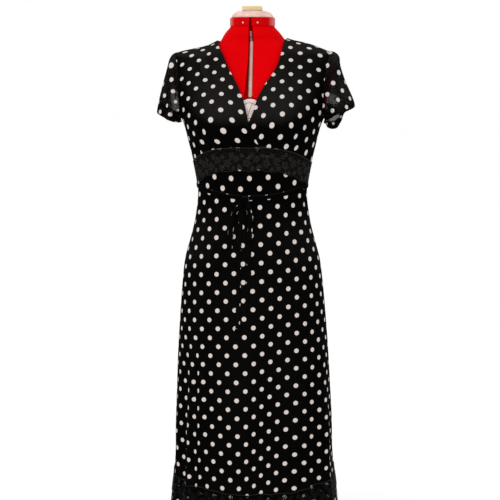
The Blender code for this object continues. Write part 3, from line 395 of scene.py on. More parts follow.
# Soft folds of a sleeve from its head to its hem: share of the way round, half width, rise, start
SLEEVE_FOLDS = (
    (0.10, 0.030, 0.0028, 0.25),
    (0.19, 0.026, -0.0024, 0.10),
    (0.27, 0.030, 0.0034, 0.15),
    (0.36, 0.028, -0.0026, 0.05),
    (0.45, 0.030, 0.0028, 0.10),
    (0.55, 0.030, -0.0024, 0.15),
    (0.64, 0.032, 0.0030, 0.10),
    (0.74, 0.028, -0.0026, 0.20),
    (0.84, 0.034, 0.0030, 0.15),
    (0.94, 0.030, -0.0020, 0.30),
)
SLEEVE_HEM = 0.020
# The sleeve's seam allowance lies behind the bodice: its width and how deep it is tucked
SLEEVE_ALLOWANCE = 0.0035
SLEEVE_TUCK = 0.0020
# Layers of chiffon over most of a sleeve, whose gathers lie over each other
GATHERED_LAYERS = 2.1
# Places where a sleeve hangs in fewer layers: its front (-1) or back (1) face or both (0), x and height
# of one end, of the other, half width, layers
SINGLE_LAYERS = {
    "sleeve_right": (
        (-1.0, -0.1880, 1.283, -0.1870, 1.253, 0.0125, 1.05),
        (1.0, -0.2020, 1.281, -0.2000, 1.251, 0.0125, 1.05),
    ),
    "sleeve_left": (
        (0.0, 0.1930, 1.276, 0.2020, 1.272, 0.0135, 1.12),
        (1.0, 0.1980, 1.219, 0.2190, 1.229, 0.0055, 1.45),
    ),
}
# How the dots lie on the ties and the bow: turn, shift across, shift along
DOTS_ON_TIES = {
    "tie_right": (1.0, 0.0125, 0.004),
    "tie_left": (-0.9, 0.0102, 0.013),
    "tail_right": (0.6, 0.0122, 0.019),
    "tail_left": (-0.7, 0.0100, 0.006),
    "bow_loop_right": (1.2, 0.0018, 0.011),
    "bow_loop_left": (0.8, -0.0012, 0.024),
    "tie_knot": (8.0, 0.0100, 0.020),
    "tail_end_knot": (12.0, 0.0080, 0.006),
}
# Turned edges: width and sewing line of the wrapped edges and of the flounce's hem, and how far they rise
WRAP_TURN = 0.0065
WRAP_SEWN = 0.0052
HEM_TURN = 0.0080
HEM_SEWN = 0.0068
TURN_RISE = 0.0003
# Next to a seam cloth keeps this share of its creases, and all of them at this distance
HELD_SHARE = 0.2
HELD_REACH = 0.012
# Darts: half width of the trough and its depth
DART_WIDTH = 0.0028
DART_DEPTH = 0.0016
LACE_CORD = 0.00045
# Distance from the axis at which the width of a wrapped crease is measured
CREASE_RADIUS = 0.19
# Stitches: distance from one to the next, length, half width
STITCH_PITCH = 0.0032
STITCH_LENGTH = 0.0022
STITCH_RADIUS = 0.00022
# Lace: length after which its flowers repeat, then the middle, radius, petals and turn of each flower
LACE_REPEAT = 0.05
LACE_FLOWERS = (
    ((0.011, 0.022), 0.0125, 5.0, 0.4),
    ((0.036, 0.031), 0.0105, 6.0, 1.9),
    ((0.024, 0.044), 0.0080, 5.0, 2.7),
    ((0.043, 0.010), 0.0070, 5.0, 0.9),
    ((0.026, 0.009), 0.0060, 3.0, 1.1),
    ((0.001, 0.040), 0.0065, 3.0, 0.2),
)
# Hard finishes: darker and lighter tone, roughness, metal, specular level
HARD_FINISHES = {
    "cap_plastic": ((0.60, 0.38, 0.33), (0.80, 0.56, 0.50), 0.42, 0.0, 0.2),
    "cream_block": ((0.68, 0.53, 0.28), (0.78, 0.65, 0.40), 0.60, 0.0, 0.15),
    "rivet_metal": ((0.55, 0.54, 0.52), (0.78, 0.77, 0.75), 0.28, 1.0, 0.5),
    "pole_steel": ((0.42, 0.42, 0.43), (0.56, 0.56, 0.57), 0.30, 1.0, 0.5),
    "black_paint": ((0.012, 0.012, 0.013), (0.035, 0.034, 0.033), 0.42, 0.0, 0.5),
    "black_rubber": ((0.010, 0.010, 0.010), (0.030, 0.029, 0.028), 0.82, 0.0, 0.5),
}


def spanned(part, start, leave, end, arrive):
    """Smooth run between two values that leaves and arrives with given slopes."""
    square = part * part
    cube = square * part
    return (
        (2.0 * cube - 3.0 * square + 1.0) * start
        + (cube - 2.0 * square + part) * leave
        + (3.0 * square - 2.0 * cube) * end
        + (cube - square) * arrive
    )


def eased(table, key, column):
    """Values of one column of a table, eased through its rows."""
    rows = np.array(table)
    keys, values = rows[:, 0], rows[:, column]
    first = np.clip(np.searchsorted(keys, key, side="right") - 1, 0, len(keys) - 2)
    second = first + 1
    before = np.maximum(first - 1, 0)
    after = np.minimum(second + 1, len(keys) - 1)
    span = keys[second] - keys[first]
    part = np.clip((key - keys[first]) / span, 0.0, 1.0)
    leave = (values[second] - values[before]) / (keys[second] - keys[before]) * span
    arrive = (values[after] - values[first]) / (keys[after] - keys[first]) * span
    return spanned(part, values[first], leave, values[second], arrive)


def ramp(value):
    """Ease from 0 to 1."""
    part = np.clip(value, 0.0, 1.0)
    return part * part * (3.0 - 2.0 * part)


def bell(value):
    """Bell curve of height 1."""
    return np.exp(-(value ** 2))


def squared(value, power):
    """Sine or cosine pressed towards a square outline."""
    return np.sign(value) * np.abs(value) ** power


def sine(angle):
    """Sine of an angle in degrees."""
    return np.sin(np.radians(angle))


def cosine(angle):
    """Cosine of an angle in degrees."""
    return np.cos(np.radians(angle))


def ring_turns(steps):
    """Angles of points spaced evenly round a ring."""
    return np.arange(steps) / steps * math.tau


def unit(vectors):
    """Vectors with the length 1."""
    return vectors / np.linalg.norm(vectors, axis=-1, keepdims=True)


def joined(*parts):
    """Points from their coordinates."""
    return np.stack(np.broadcast_arrays(*parts), axis=-1)


def lengths(path):
    """Length along a line at each of its points."""
    return np.concatenate(((0.0,), np.cumsum(np.linalg.norm(np.diff(path, axis=0), axis=1))))


def laid(x, y, turn, across, upward):
    """Places turned by an angle in degrees and shifted."""
    lean = math.radians(turn)
    return (
        x * math.cos(lean) - y * math.sin(lean) + across,
        x * math.sin(lean) + y * math.cos(lean) + upward,
    )


def line_distance(x, height, x1, z1, x2, z2):
    """Share of the way along a line and distance from it."""
    along = ((x - x1) * (x2 - x1) + (height - z1) * (z2 - z1)) / ((x2 - x1) ** 2 + (z2 - z1) ** 2)
    held = np.clip(along, 0.0, 1.0)
    return along, np.hypot(x - x1 - held * (x2 - x1), height - z1 - held * (z2 - z1))


def fold_rise(angle, height):
    """How far the skirt's folds carry the skin outward."""
    total = 0.0 * height
    for middle, width, rise, start in FOLDS:
        away = (angle - middle + 180.0) % 360.0 - 180.0
        total = total + rise * ramp((start - height) / (start - FOLD_FULL_HEIGHT)) * bell(away / width)
    return total


def shoulder_rise(x, height):
    """How far the uneven shoulders lift the skin."""
    total = sum(rise * bell((x - middle) / width) for middle, width, rise in SHOULDER_LEVELS)
    return total * ramp((height - 1.300) / 0.080) * (1.0 - ramp((height - 1.425) / 0.020))


def half_width(height):
    """Half width of the section at a height."""
    return eased(SECTIONS, height, 1)


def skin_point(angle, height, folded=True):
    """Points on the outer face of the dress at angles from the front and heights."""
    side = sine(angle)
    ahead = cosine(angle)
    x = half_width(height) * side
    y = -np.where(ahead > 0.0, eased(SECTIONS, height, 2), eased(SECTIONS, height, 3)) * ahead
    level = bell((height - BUST_HEIGHT) / np.where(height > BUST_HEIGHT, BUST_ABOVE, BUST_BELOW))
    level = np.where((height > 1.04) & (height < 1.46) & (ahead > 0.0), level, 0.0)
    mounds = sum(np.exp(-0.5 * ((x - middle) / BUST_WIDTH) ** 2) for middle in (BUST_SIDE, -BUST_SIDE))
    y = y - BUST_PUSH * level * mounds * ramp(ahead * 1.6)
    if folded:
        rise = fold_rise(angle, height)
        x = x + rise * side
        y = y - rise * ahead
    return joined(x + eased(SECTIONS, height, 4), y, height + shoulder_rise(x, height))


def skin_normal(angle, height, folded=True, upright=0.0):
    """Outward directions of the skin; upright 1 keeps them level."""
    step_round = skin_point(angle + 0.4, height, folded) - skin_point(angle - 0.4, height, folded)
    step_up = skin_point(angle, height + 0.0005, folded) - skin_point(angle, height - 0.0005, folded)
    normal = np.cross(step_round, step_up)
    normal[..., 2] = normal[..., 2] * (1.0 - upright)
    return unit(normal)


def skin(angle, height, out, folded=True, upright=0.0):
    """Points moved outward from the dress's outer face."""
    angle = np.asarray(angle, float)
    height = np.asarray(height, float)
    normal = skin_normal(angle, height, folded, upright)
    return skin_point(angle, height, folded) + normal * np.asarray(out, float)[..., None]


def seam_turn(height, column):
    """Angle that half a seam gap takes at the side, for the depths of the front (2) or the back (3)."""
    return np.degrees(0.5 * SEAM_GAP / eased(SECTIONS, height, column)) + 0.02


def side_angle(height):
    """Angle of the side edge of a front panel, half a seam gap from the side."""
    return 90.0 - seam_turn(height, 2)


def angle_of(x, height):
    """Angle of the front skin at a distance from the middle."""
    turn = np.degrees(np.arcsin(np.clip(x / half_width(height), -1.0, 1.0)))
    return np.minimum(turn, side_angle(height))


def back_angle_of(x, height):
    """Angle of the back skin at a distance from the middle, measured from the wearer's left."""
    edge = seam_turn(height, 3)
    turn = np.degrees(np.arcsin(np.clip(x / half_width(height), -1.0, 1.0)))
    return np.clip(180.0 - turn, 90.0 + edge, 270.0 - edge)


def waist_seam(angle):
    """Height of the waist seam."""
    middle = np.where(cosine(angle) > 0.0, WAIST_FRONT, WAIST_BACK)
    return middle + (WAIST_SIDE - middle) * sine(angle) ** 2


def bust_seam(angle):
    """Height of the seam under the bust, which is also the lace's top edge."""
    return BUST_SEAM_MIDDLE - BUST_SEAM_DROP * np.abs(sine(angle)) ** 3.2


def lace_foot(angle):
    """Height of the lace's lower edge between its scallops."""
    return LACE_FOOT_MIDDLE - LACE_FOOT_DROP * np.abs(sine(angle)) ** 3.0


def front_place(x, height):
    """Front skin at distances from the middle."""
    return skin_point(angle_of(x, height), height)


def back_place(x, height):
    """Back skin at distances from the middle."""
    return skin_point(back_angle_of(x, height), height)


def by_length(x, height, place):
    """A run of (x, height) points, to be read by its length on the skin."""
    along = lengths(place(x, height))
    along = along / along[-1]

    def at(share):
        return np.interp(share, along, x), np.interp(share, along, height)

    return at


def patch(foot, top, start, end, u, v):
    """Blend four border runs into x and height at (u, v)."""
    result = []
    for axis in (0, 1):
        corners = (
            (1.0 - u) * (1.0 - v) * foot(0.0)[axis] + u * (1.0 - v) * foot(1.0)[axis]
            + (1.0 - u) * v * top(0.0)[axis] + u * v * top(1.0)[axis]
        )
        across = (1.0 - v) * foot(u)[axis] + v * top(u)[axis]
        upward = (1.0 - u) * start(v)[axis] + u * end(v)[axis]
        result.append(across + upward - corners)
    return result


def armhole_run(column):
    """Dense run along the front half (1) or the back half (2) of the armhole."""
    place = np.linspace(0.0, 7.0, 61)
    height = eased(ARMHOLE, place, 3)
    return half_width(height) * sine(eased(ARMHOLE, place, column)), height


def ridge_run():
    """Dense run along the shoulder seam from its tip to the neck point."""
    height = np.linspace(SHOULDER_TIP, NECK_POINT, 41)
    return half_width(height), height


def row_share(v):
    """Share of the way up a bodice panel; the rows close up towards the shoulder seam."""
    return 1.0 - (1.0 - v) ** 1.25


FRONT_ROWS = 14
FRONT_UNDERARM_ROW = 4
FRONT_UNDERARM = row_share(FRONT_UNDERARM_ROW / FRONT_ROWS)
BACK_ROWS = 15
BACK_UNDERARM_ROW = 5
BACK_UNDERARM = row_share(BACK_UNDERARM_ROW / BACK_ROWS)
BACK_SHOULDER = 7.0 / 24.0
SLEEVE_LINES = 20
FRONT_ARMHOLE = by_length(*armhole_run(1), front_place)
BACK_ARMHOLE = by_length(*armhole_run(2), back_place)
# Angle from the front to the midriff's side seams
MIDRIFF_REACH = float(side_angle(np.array(1.08)))


def split_run(lower, upper, share):
    """Two runs read as one, joined at a share of its length."""
    def at(v):
        low = lower(np.clip(v / share, 0.0, 1.0))
        high = upper(np.clip((v - share) / (1.0 - share), 0.0, 1.0))
        return [np.where(v < share, low[axis], high[axis]) for axis in (0, 1)]
    return at


def side_run(foot, place):
    """Run up a side seam from its foot to the underarm."""
    height = np.linspace(foot, UNDERARM, 13)
    return by_length(half_width(height), height, place)


def front_panel(column, u, v):
    """x and height over the right (1) or the left (2) front, from the side seam to its wrapped edge."""
    last_angle = math.degrees(math.asin(WRAP_EDGES[0][column] / half_width(BUST_SEAM_MIDDLE)))
    turn = np.linspace(90.0, last_angle, 49)
    foot_height = bust_seam(turn) + 0.5 * SEAM_GAP
    edge_height = np.linspace(WRAP_EDGES[0][0] + 0.5 * SEAM_GAP, WRAP_EDGES[-1][0], 45)
    neck_x, neck_height = zip(*EDGE_AT_SHOULDER)
    edge = by_length(
        np.concatenate((eased(WRAP_EDGES, edge_height, column), neck_x)),
        np.concatenate((edge_height, neck_height)),
        front_place,
    )
    foot = by_length(half_width(foot_height) * sine(turn), foot_height, front_place)
    start = split_run(side_run(foot_height[0], front_place), FRONT_ARMHOLE, FRONT_UNDERARM)
    return patch(foot, by_length(*ridge_run(), front_place), start, edge, u, v)


def back_panel(u, v):
    """x and height over the back bodice, from the wearer's left side to the right."""
    turn = np.linspace(90.0, 270.0, 97)
    foot_height = waist_seam(turn) + 0.5 * SEAM_GAP
    share = np.linspace(1.0, -1.0, 49)
    neck_height = NECK_POINT - (NECK_POINT - BACK_NECK) * (1.0 - np.abs(share) ** 2.6)
    neck_x = np.where(np.abs(share) == 1.0, half_width(NECK_POINT), BACK_NECK_SIDE) * share
    foot = by_length(half_width(foot_height) * sine(turn), foot_height, back_place)
    shoulder = by_length(*ridge_run(), back_place)
    neck = by_length(neck_x, neck_height, back_place)
    start = split_run(side_run(foot_height[0], back_place), BACK_ARMHOLE, BACK_UNDERARM)

    def top(across):
        left = shoulder(np.clip(across / BACK_SHOULDER, 0.0, 1.0))
        right = shoulder(np.clip((1.0 - across) / BACK_SHOULDER, 0.0, 1.0))
        middle = neck(np.clip((across - BACK_SHOULDER) / (1.0 - 2.0 * BACK_SHOULDER), 0.0, 1.0))
        on_left = across < BACK_SHOULDER
        on_right = across > 1.0 - BACK_SHOULDER
        x = np.where(on_left, left[0], np.where(on_right, -right[0], middle[0]))
        return x, np.where(on_left, left[1], np.where(on_right, right[1], middle[1]))

    def end(upward):
        x, height = start(upward)
        return -x, height

    return patch(foot, top, start, end, u, v)


def crease_rise(x, height, creases):
    """Sum of soft troughs and ridges, each along a line and fading at both ends."""
    total = np.zeros_like(height)
    for *line, width, rise in creases:
        along, away = line_distance(x, height, *line)
        total = total + rise * ramp((along + 0.25) / 0.5) * ramp((1.25 - along) / 0.5) * bell(away / width)
    return total


def wrapped_creases(angle, height, creases):
    """Creases of a skirt or a back bodice, whose table gives angles."""
    reach = math.radians(1.0) * CREASE_RADIUS
    level = [(a1 * reach, z1, a2 * reach, z2, width, rise) for a1, z1, a2, z2, width, rise in creases]
    return crease_rise(angle * reach, height, level)


def ripple(x, height, step, rise):
    """Shallow uneven ripple of hanging cloth."""
    first = np.sin(x / step * 2.0 + 1.3 * np.sin(height / step * 0.55))
    second = np.sin(x / step * 3.1 + height / step * 0.7 + 2.1)
    third = np.sin(height / step * 1.4 - x / step * 0.8)
    return rise * (0.5 * first + 0.3 * second + 0.2 * third)


def grid(columns, rows):
    """u and v of a panel's points, rows first."""
    return np.meshgrid(np.linspace(0.0, 1.0, columns + 1), np.linspace(0.0, 1.0, rows + 1))


def distance_from(points, border):
    """Distance of each point from the foot, top, start or end of a panel, along its rows or columns."""
    axis = 0 if border in ("foot", "top") else 1
    backward = border in ("top", "end")
    if backward:
        points = np.flip(points, axis=axis)
    steps = np.linalg.norm(np.diff(points, axis=axis), axis=-1)
    pad = [(0, 0), (0, 0)]
    pad[axis] = (1, 0)
    along = np.pad(np.cumsum(steps, axis=axis), pad)
    return np.flip(along, axis=axis) if backward else along


def line_at(points, distances, place):
    """Point of each line of a panel at a distance that runs along it."""
    return np.array([
        [np.interp(place, along, line[:, axis]) for axis in range(3)]
        for along, line in zip(distances, points)
    ])


def turned_edge(distance, width, rise):
    """Extra height of a turned edge, which ends in a soft step at its sewing line."""
    step = 1.0 - ramp((distance - width) / 0.0012)
    return rise * step - 0.6 * rise * bell((distance - width + 0.0008) / 0.0006)


def surface_area(points):
    """Area of a panel's grid."""
    across = points[:-1, 1:] - points[:-1, :-1]
    upward = points[1:, :-1] - points[:-1, :-1]
    return float(np.linalg.norm(np.cross(across, upward), axis=-1).sum())


def quads(rows, columns):
    """Corner indices of a grid's faces, for rows and columns of points."""
    index = np.arange(rows * columns).reshape(rows, columns)
    faces = np.stack((index[:-1, :-1], index[:-1, 1:], index[1:, 1:], index[1:, :-1]), axis=-1)
    return faces.reshape(-1, 4)


def ring_quads(rows, columns):
    """Corner indices of the faces round a tube, for rows and columns of points."""
    cells = quads(rows, columns + 1)
    return (cells // (columns + 1)) * columns + (cells % (columns + 1)) % columns


def lay_flat(points, middle, darts=()):
    """The cut of a panel: its grid laid flat in metres, with the middle column upright at its foot.

    Each dart is a column and the number of its rows that are open. The cut comes as one place for each
    point of the grid and one for each corner of its faces, which differ along a dart.
    """
    rows, columns = points.shape[:2]
    faces = quads(rows, columns)
    mesh = bpy.data.meshes.new("cut")
    mesh.from_pydata(points.reshape(-1, 3).tolist(), [], faces.tolist())
    mesh.uv_layers.new(name="cut")
    pattern = bpy.data.objects.new("cut", mesh)
    bpy.context.scene.collection.objects.link(pattern)
    bpy.context.view_layer.objects.active = pattern
    cut_open = {
        (row * columns + column, (row + 1) * columns + column)
        for column, count in darts
        for row in range(count)
    }
    for edge in mesh.edges:
        edge.use_seam = tuple(sorted(edge.vertices)) in cut_open
    bpy.ops.object.mode_set(mode="EDIT")
    bpy.ops.mesh.select_all(action="SELECT")
    bpy.ops.uv.unwrap(method="CONFORMAL", margin=0.0)
    bpy.ops.object.mode_set(mode="OBJECT")
    spots = np.zeros(len(mesh.loops) * 2, np.float32)
    mesh.uv_layers["cut"].uv.foreach_get("vector", spots)
    bpy.data.objects.remove(pattern)
    bpy.data.meshes.remove(mesh)
    corners = spots.astype(float).reshape(-1, 4, 2)
    first = corners[:, 2] - corners[:, 0]
    second = corners[:, 3] - corners[:, 1]
    flat_area = 0.5 * float(np.abs(first[:, 0] * second[:, 1] - first[:, 1] * second[:, 0]).sum())
    flat = np.zeros((rows * columns, 2))
    flat[faces.ravel()] = corners.reshape(-1, 2)
    corner = flat[middle].copy()
    half_way = (rows // 2) * columns
    lead = unit(flat[half_way + middle] - corner)
    across = np.array((lead[1], -lead[0]))
    if (flat[half_way + columns - 1] - flat[half_way]) @ across < 0.0:
        across = -across
    axes = np.stack((across, lead), axis=-1) * math.sqrt(surface_area(points) / flat_area)
    return ((flat - corner) @ axes).reshape(rows, columns, 2), (corners - corner) @ axes


def dotted(flat, name):
    """Places on the printed cloth for places in a piece's cut."""
    wide_at, tall_at = flat[..., 0], flat[..., 1]
    for foot, top, height, length, half_wide, taken in DOT_TUCKS.get(name, ()):
        middle = foot + (top - foot) * np.clip(tall_at / height, 0.0, 1.0)
        depth = taken * ramp((height - tall_at) / length)
        wide_at = wide_at - depth * ramp(0.5 * (middle - wide_at) / half_wide + 0.5)
    turn, across, upward, wide, tall, aslant = DOT_LAY[name]
    x, y = laid(
        wide_at * wide + tall_at * aslant, wide_at * aslant + tall_at * tall, turn, across, upward,
    )
    bows = DOT_BOWS.get(name, (0.0,) * 6)
    powers = (wide_at ** 2, wide_at * tall_at, tall_at ** 2)
    x = x + sum(bow * power for bow, power in zip(bows[:3], powers))
    y = y + sum(bow * power for bow, power in zip(bows[3:], powers))
    for middle, height, half_wide, half_tall, aside, lift in DOT_PULLS.get(name, ()):
        away = np.hypot((wide_at - middle) / half_wide, (tall_at - height) / half_tall)
        x = x + aside * ramp(1.0 - away)
        y = y + lift * ramp(1.0 - away)
    return joined(x, y)


def signed_volume(points, faces):
    """Six times the volume inside quads, negative where they face inward."""
    first, second, third, fourth = (points[faces[:, corner]] for corner in range(4))
    halves = ((second, third), (third, fourth))
    return sum(np.einsum("ij,ij->i", first, np.cross(*half)).sum() for half in halves)


def new_object(name, mesh, material, sharp=None):
    """Object of a mesh; with an angle in degrees it is smooth between its sharper edges."""
    if sharp is not None:
        mesh.shade_smooth()
        mesh.set_sharp_from_angle(angle=math.radians(sharp))
    mesh.materials.append(material)
    piece = bpy.data.objects.new(name, mesh)
    bpy.context.scene.collection.objects.link(piece)
    return piece


def set_places(mesh, spots):
    """Stores a place on the cloth for each face corner of a mesh."""
    mesh.uv_layers.new(name="cloth").uv.foreach_set("vector", spots.astype(np.float32).ravel())


def mesh_piece(name, points, faces, spots, material, sharp=40.0):
    """Smooth object from points and quads, with a place on the cloth for each face's corners."""
    if signed_volume(points, faces) < 0.0:
        faces, spots = faces[:, ::-1], spots[:, ::-1]
    mesh = bpy.data.meshes.new(name)
    mesh.from_pydata(points.tolist(), [], faces.tolist())
    set_places(mesh, spots)
    return new_object(name, mesh, material, sharp)


def shell(name, outer, inner, spots, material, ring=False):
    """Closed cloth shell between two grids of points; a ring joins its first and last columns."""
    rows, columns = outer.shape[:2]
    kept = columns - 1 if ring else columns
    points = np.concatenate((outer[:, :kept].reshape(-1, 3), inner[:, :kept].reshape(-1, 3)))
    cells = quads(rows, columns)
    if spots.shape[:2] == (rows, columns):
        spots = spots.reshape(-1, 2)[cells]
    flat = np.zeros((rows * columns, 2))
    flat[cells.ravel()] = spots.reshape(-1, 2)
    inner_start = rows * columns
    faces = [cells, cells[:, ::-1] + inner_start]
    places = [spots, spots[:, ::-1]]
    lines = [np.arange(columns), (rows - 1) * columns + np.arange(columns)[::-1]]
    if not ring:
        lines.append(np.arange(rows)[::-1] * columns)
        lines.append(np.arange(rows) * columns + columns - 1)
    for line in lines:
        rim = np.stack((line[1:], line[:-1], line[:-1] + inner_start, line[1:] + inner_start), axis=-1)
        faces.append(rim)
        places.append(flat[rim % inner_start])
    faces = np.concatenate(faces)
    cell = faces % inner_start
    corner = (faces // inner_start) * rows * kept + (cell // columns) * kept + (cell % columns) % kept
    return mesh_piece(name, points, corner, np.concatenate(places), material)


def loft(name, points, material, sharp=35.0, spots=None):
    """Closed solid through rings of points, with flat ends."""
    rows, columns = points.shape[:2]
    last = (rows - 1) * columns
    ends = [list(range(columns))[::-1], list(range(last, last + columns))]
    faces, cells = ring_quads(rows, columns), quads(rows, columns + 1)
    # A ribbon's faces are turned outward first, because their order sets how each is split in two.
    if spots is not None and signed_volume(points.reshape(-1, 3), faces) < 0.0:
        faces, cells = faces[:, ::-1], cells[:, ::-1]
    mesh = bpy.data.meshes.new(name)
    mesh.from_pydata(points.reshape(-1, 3).tolist(), [], faces.tolist() + ends)
    if spots is not None:
        around = spots.reshape(-1, 2)[cells.ravel()]
        set_places(mesh, np.concatenate((around, spots[0, :columns][::-1], spots[-1, :columns])))
    work = bmesh.new()
    work.from_mesh(mesh)
    bmesh.ops.recalc_face_normals(work, faces=work.faces)
    if work.calc_volume(signed=True) < 0.0:
        bmesh.ops.reverse_faces(work, faces=work.faces)
    work.to_mesh(mesh)
    work.free()
    return new_object(name, mesh, material, sharp)


def turned(name, profile, material, steps=64):
    """Turned solid about the Z axis from a profile of radius and height, foot first."""
    turn = ring_turns(steps)
    rows = [joined(radius * np.sin(turn), -radius * np.cos(turn), height) for radius, height in profile]
    return loft(name, np.array(rows), material)


def cord(name, path, radius, material):
    """Round cord along a line."""
    ahead = unit(np.gradient(path, axis=0))
    first = unit(np.cross(ahead, np.array((0.0, 0.0, 1.0)) + 0.001))
    second = np.cross(ahead, first)
    turn = ring_turns(8)[None, :, None]
    rings = path[:, None] + radius * (np.cos(turn) * first[:, None] + np.sin(turn) * second[:, None])
    piece = loft(name, rings, material, 60.0)
    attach(piece, "root")
    return piece


def show(piece, slot_name, *nodes):
    """Lets a piece ride on the root body and hides the nodes that it stands for."""
    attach(piece, "root")
    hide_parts(*nodes)
    return piece


def declare_sheet(points):
    """Works out the area of a piece's grid and keeps nothing of it."""
    surface_area(points)


def marked(mesh, name, values):
    """Adds a number for each point of a shell with two faces of like points."""
    both = np.concatenate((values.ravel(), values.ravel()))
    mesh.attributes.new(name, "FLOAT", "POINT").data.foreach_set("value", both.astype(np.float32))


def sewing(name, path, outward):
    """Row of short stitches along a line of points."""
    along = lengths(path)
    middles = (np.arange(int(along[-1] / STITCH_PITCH)) + 0.5) * STITCH_PITCH

    def at(values, place):
        return joined(*(np.interp(place, along, values[:, axis]) for axis in range(3)))

    start = at(path, middles - 0.5 * STITCH_LENGTH)
    end = at(path, middles + 0.5 * STITCH_LENGTH)
    ahead = (end - start)[:, None]
    up = at(outward, middles)[:, None]
    side = unit(np.cross(up, ahead))
    shape = np.array((
        (-0.5, 0.0, -0.3), (-0.25, -1.0, 0.5), (-0.25, 1.0, 0.5), (0.25, -1.0, 0.5), (0.25, 1.0, 0.5),
        (0.5, 0.0, -0.3),
    ))
    sides = ((0, 1, 2), (1, 3, 4, 2), (3, 5, 4), (0, 2, 4, 5), (0, 5, 3, 1))
    points = (
        0.5 * (start + end)[:, None] + shape[:, 0:1] * ahead + shape[:, 1:2] * side * STITCH_RADIUS
        + shape[:, 2:3] * up * STITCH_RADIUS * 1.6
    )
    faces = [
        [corner + number * len(shape) for corner in face] for number in range(len(middles)) for face in sides
    ]
    mesh = bpy.data.meshes.new(name)
    mesh.from_pydata(points.reshape(-1, 3).tolist(), [], faces)
    piece = new_object(name, mesh, finish_of("black_thread"))
    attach(piece, "root")
    return piece


class Wire:
    """Value that one shader node passes to the next, with which sums can be written."""

    def __init__(self, socket):
        self.socket = socket

    def __add__(self, other):
        return calc("ADD", self, other)

    def __sub__(self, other):
        return calc("SUBTRACT", self, other)

    def __rsub__(self, other):
        return calc("SUBTRACT", other, self)

    def __mul__(self, other):
        return calc("MULTIPLY", self, other)

    def __truediv__(self, other):
        return calc("DIVIDE", self, other)

    def __rtruediv__(self, other):
        return calc("DIVIDE", other, self)

    def __abs__(self):
        return calc("ABSOLUTE", self)

    def vector(self, operation, second=(0.0, 0.0, 0.0)):
        """Output of a vector math node."""
        made = node(self.socket.id_data, "ShaderNodeVectorMath", {0: self, 1: second}, operation=operation)
        return made["Value" if operation == "LENGTH" else "Vector"]

    def step(self, low, high, to_low=0.0, to_high=1.0):
        """Smooth step of the value from one range to another."""
        inputs = {"Value": self, "From Min": low, "From Max": high, "To Min": to_low, "To Max": to_high}
        made = node(self.socket.id_data, "ShaderNodeMapRange", inputs, interpolation_type="SMOOTHSTEP")
        return made["Result"]


def feed(socket, value):
    """Links a wire to a socket, or sets it to a constant."""
    if isinstance(value, Wire):
        socket.id_data.links.new(value.socket, socket)
    else:
        socket.default_value = value


def wires(sockets):
    """Outputs of a node by their names."""
    return {item.name: Wire(item) for item in sockets if item.enabled}


def node(tree, kind, inputs=None, **settings):
    """Adds a shader node with constants or wires as its inputs, and gives its outputs."""
    made = tree.nodes.new(kind)
    for name, value in settings.items():
        setattr(made, name, value)
    for key, value in (inputs or {}).items():
        feed(made.inputs[key], value)
    return wires(made.outputs)


def calc(operation, first, second=0.0, clamp=False):
    """Output of a math node."""
    tree = (first if isinstance(first, Wire) else second).socket.id_data
    return node(tree, "ShaderNodeMath", {0: first, 1: second}, operation=operation, use_clamp=clamp)["Value"]


def greatest(first, *others):
    """Greatest of some values."""
    for value in others:
        first = calc("MAXIMUM", first, value)
    return first


def split(place):
    """Coordinates of a place."""
    return node(place.socket.id_data, "ShaderNodeSeparateXYZ", {0: place})


def noise(place, scale, detail, roughness=0.5):
    """Outputs of a noise texture."""
    inputs = {"Vector": place, "Scale": scale, "Detail": detail, "Roughness": roughness}
    return node(place.socket.id_data, "ShaderNodeTexNoise", inputs)


def web(place, scale, randomness=1.0):
    """Distance from the nearest thread of an irregular net."""
    inputs = {"Vector": place, "Scale": scale, "Randomness": randomness}
    return node(place.socket.id_data, "ShaderNodeTexVoronoi", inputs, feature="DISTANCE_TO_EDGE")["Distance"]


def mixed(share, first, second):
    """Colour between two colours."""
    made = share.socket.id_data.nodes.new("ShaderNodeMix")
    made.data_type = "RGBA"
    sockets = {item.identifier: item for item in (*made.inputs, *made.outputs)}
    feed(sockets["Factor_Float"], share)
    for name, value in (("A_Color", first), ("B_Color", second)):
        feed(sockets[name], value if isinstance(value, Wire) else (*value[:3], 1.0))
    return Wire(sockets["Result_Color"])


def new_group(name, place, inputs, outputs):
    """Empty shader node group: its place, its numbers with their defaults, and what it puts out."""
    tree = bpy.data.node_groups.new(name, "ShaderNodeTree")
    tree.interface.new_socket(place, in_out="INPUT", socket_type="NodeSocketVector")
    for label, default in inputs.items():
        made = tree.interface.new_socket(label, in_out="INPUT", socket_type="NodeSocketFloat")
        made.default_value = default
    for label in outputs:
        tree.interface.new_socket(label, in_out="OUTPUT", socket_type="NodeSocketFloat")
    given = wires(tree.nodes.new("NodeGroupInput").outputs)
    return given[place], given, tree.nodes.new("NodeGroupOutput").inputs


def dot_print_group():
    """Round dots on a square grid with one more in the middle of each square."""
    cloth, given, put = new_group("dot_print", "Cloth", {"Period": 0.045, "Diameter": 0.012}, ("Dot",))
    cells = cloth.vector("DIVIDE", given["Period"])
    near = []
    for shift in (0.0, 0.5):
        away = cells.vector("ADD", (shift, shift, 0.0)).vector("FRACTION").vector("SUBTRACT", (0.5, 0.5, 0.0))
        near.append(away.vector("MULTIPLY", (1.0, 1.0, 0.0)).vector("LENGTH"))
    reach = noise(cloth, 420.0, 2.0)["Fac"] * 0.0006 + calc("MINIMUM", *near) * given["Period"]
    feed(put["Dot"], (given["Diameter"] * 0.5 + 0.0003 - reach).step(-0.00022, 0.00022))


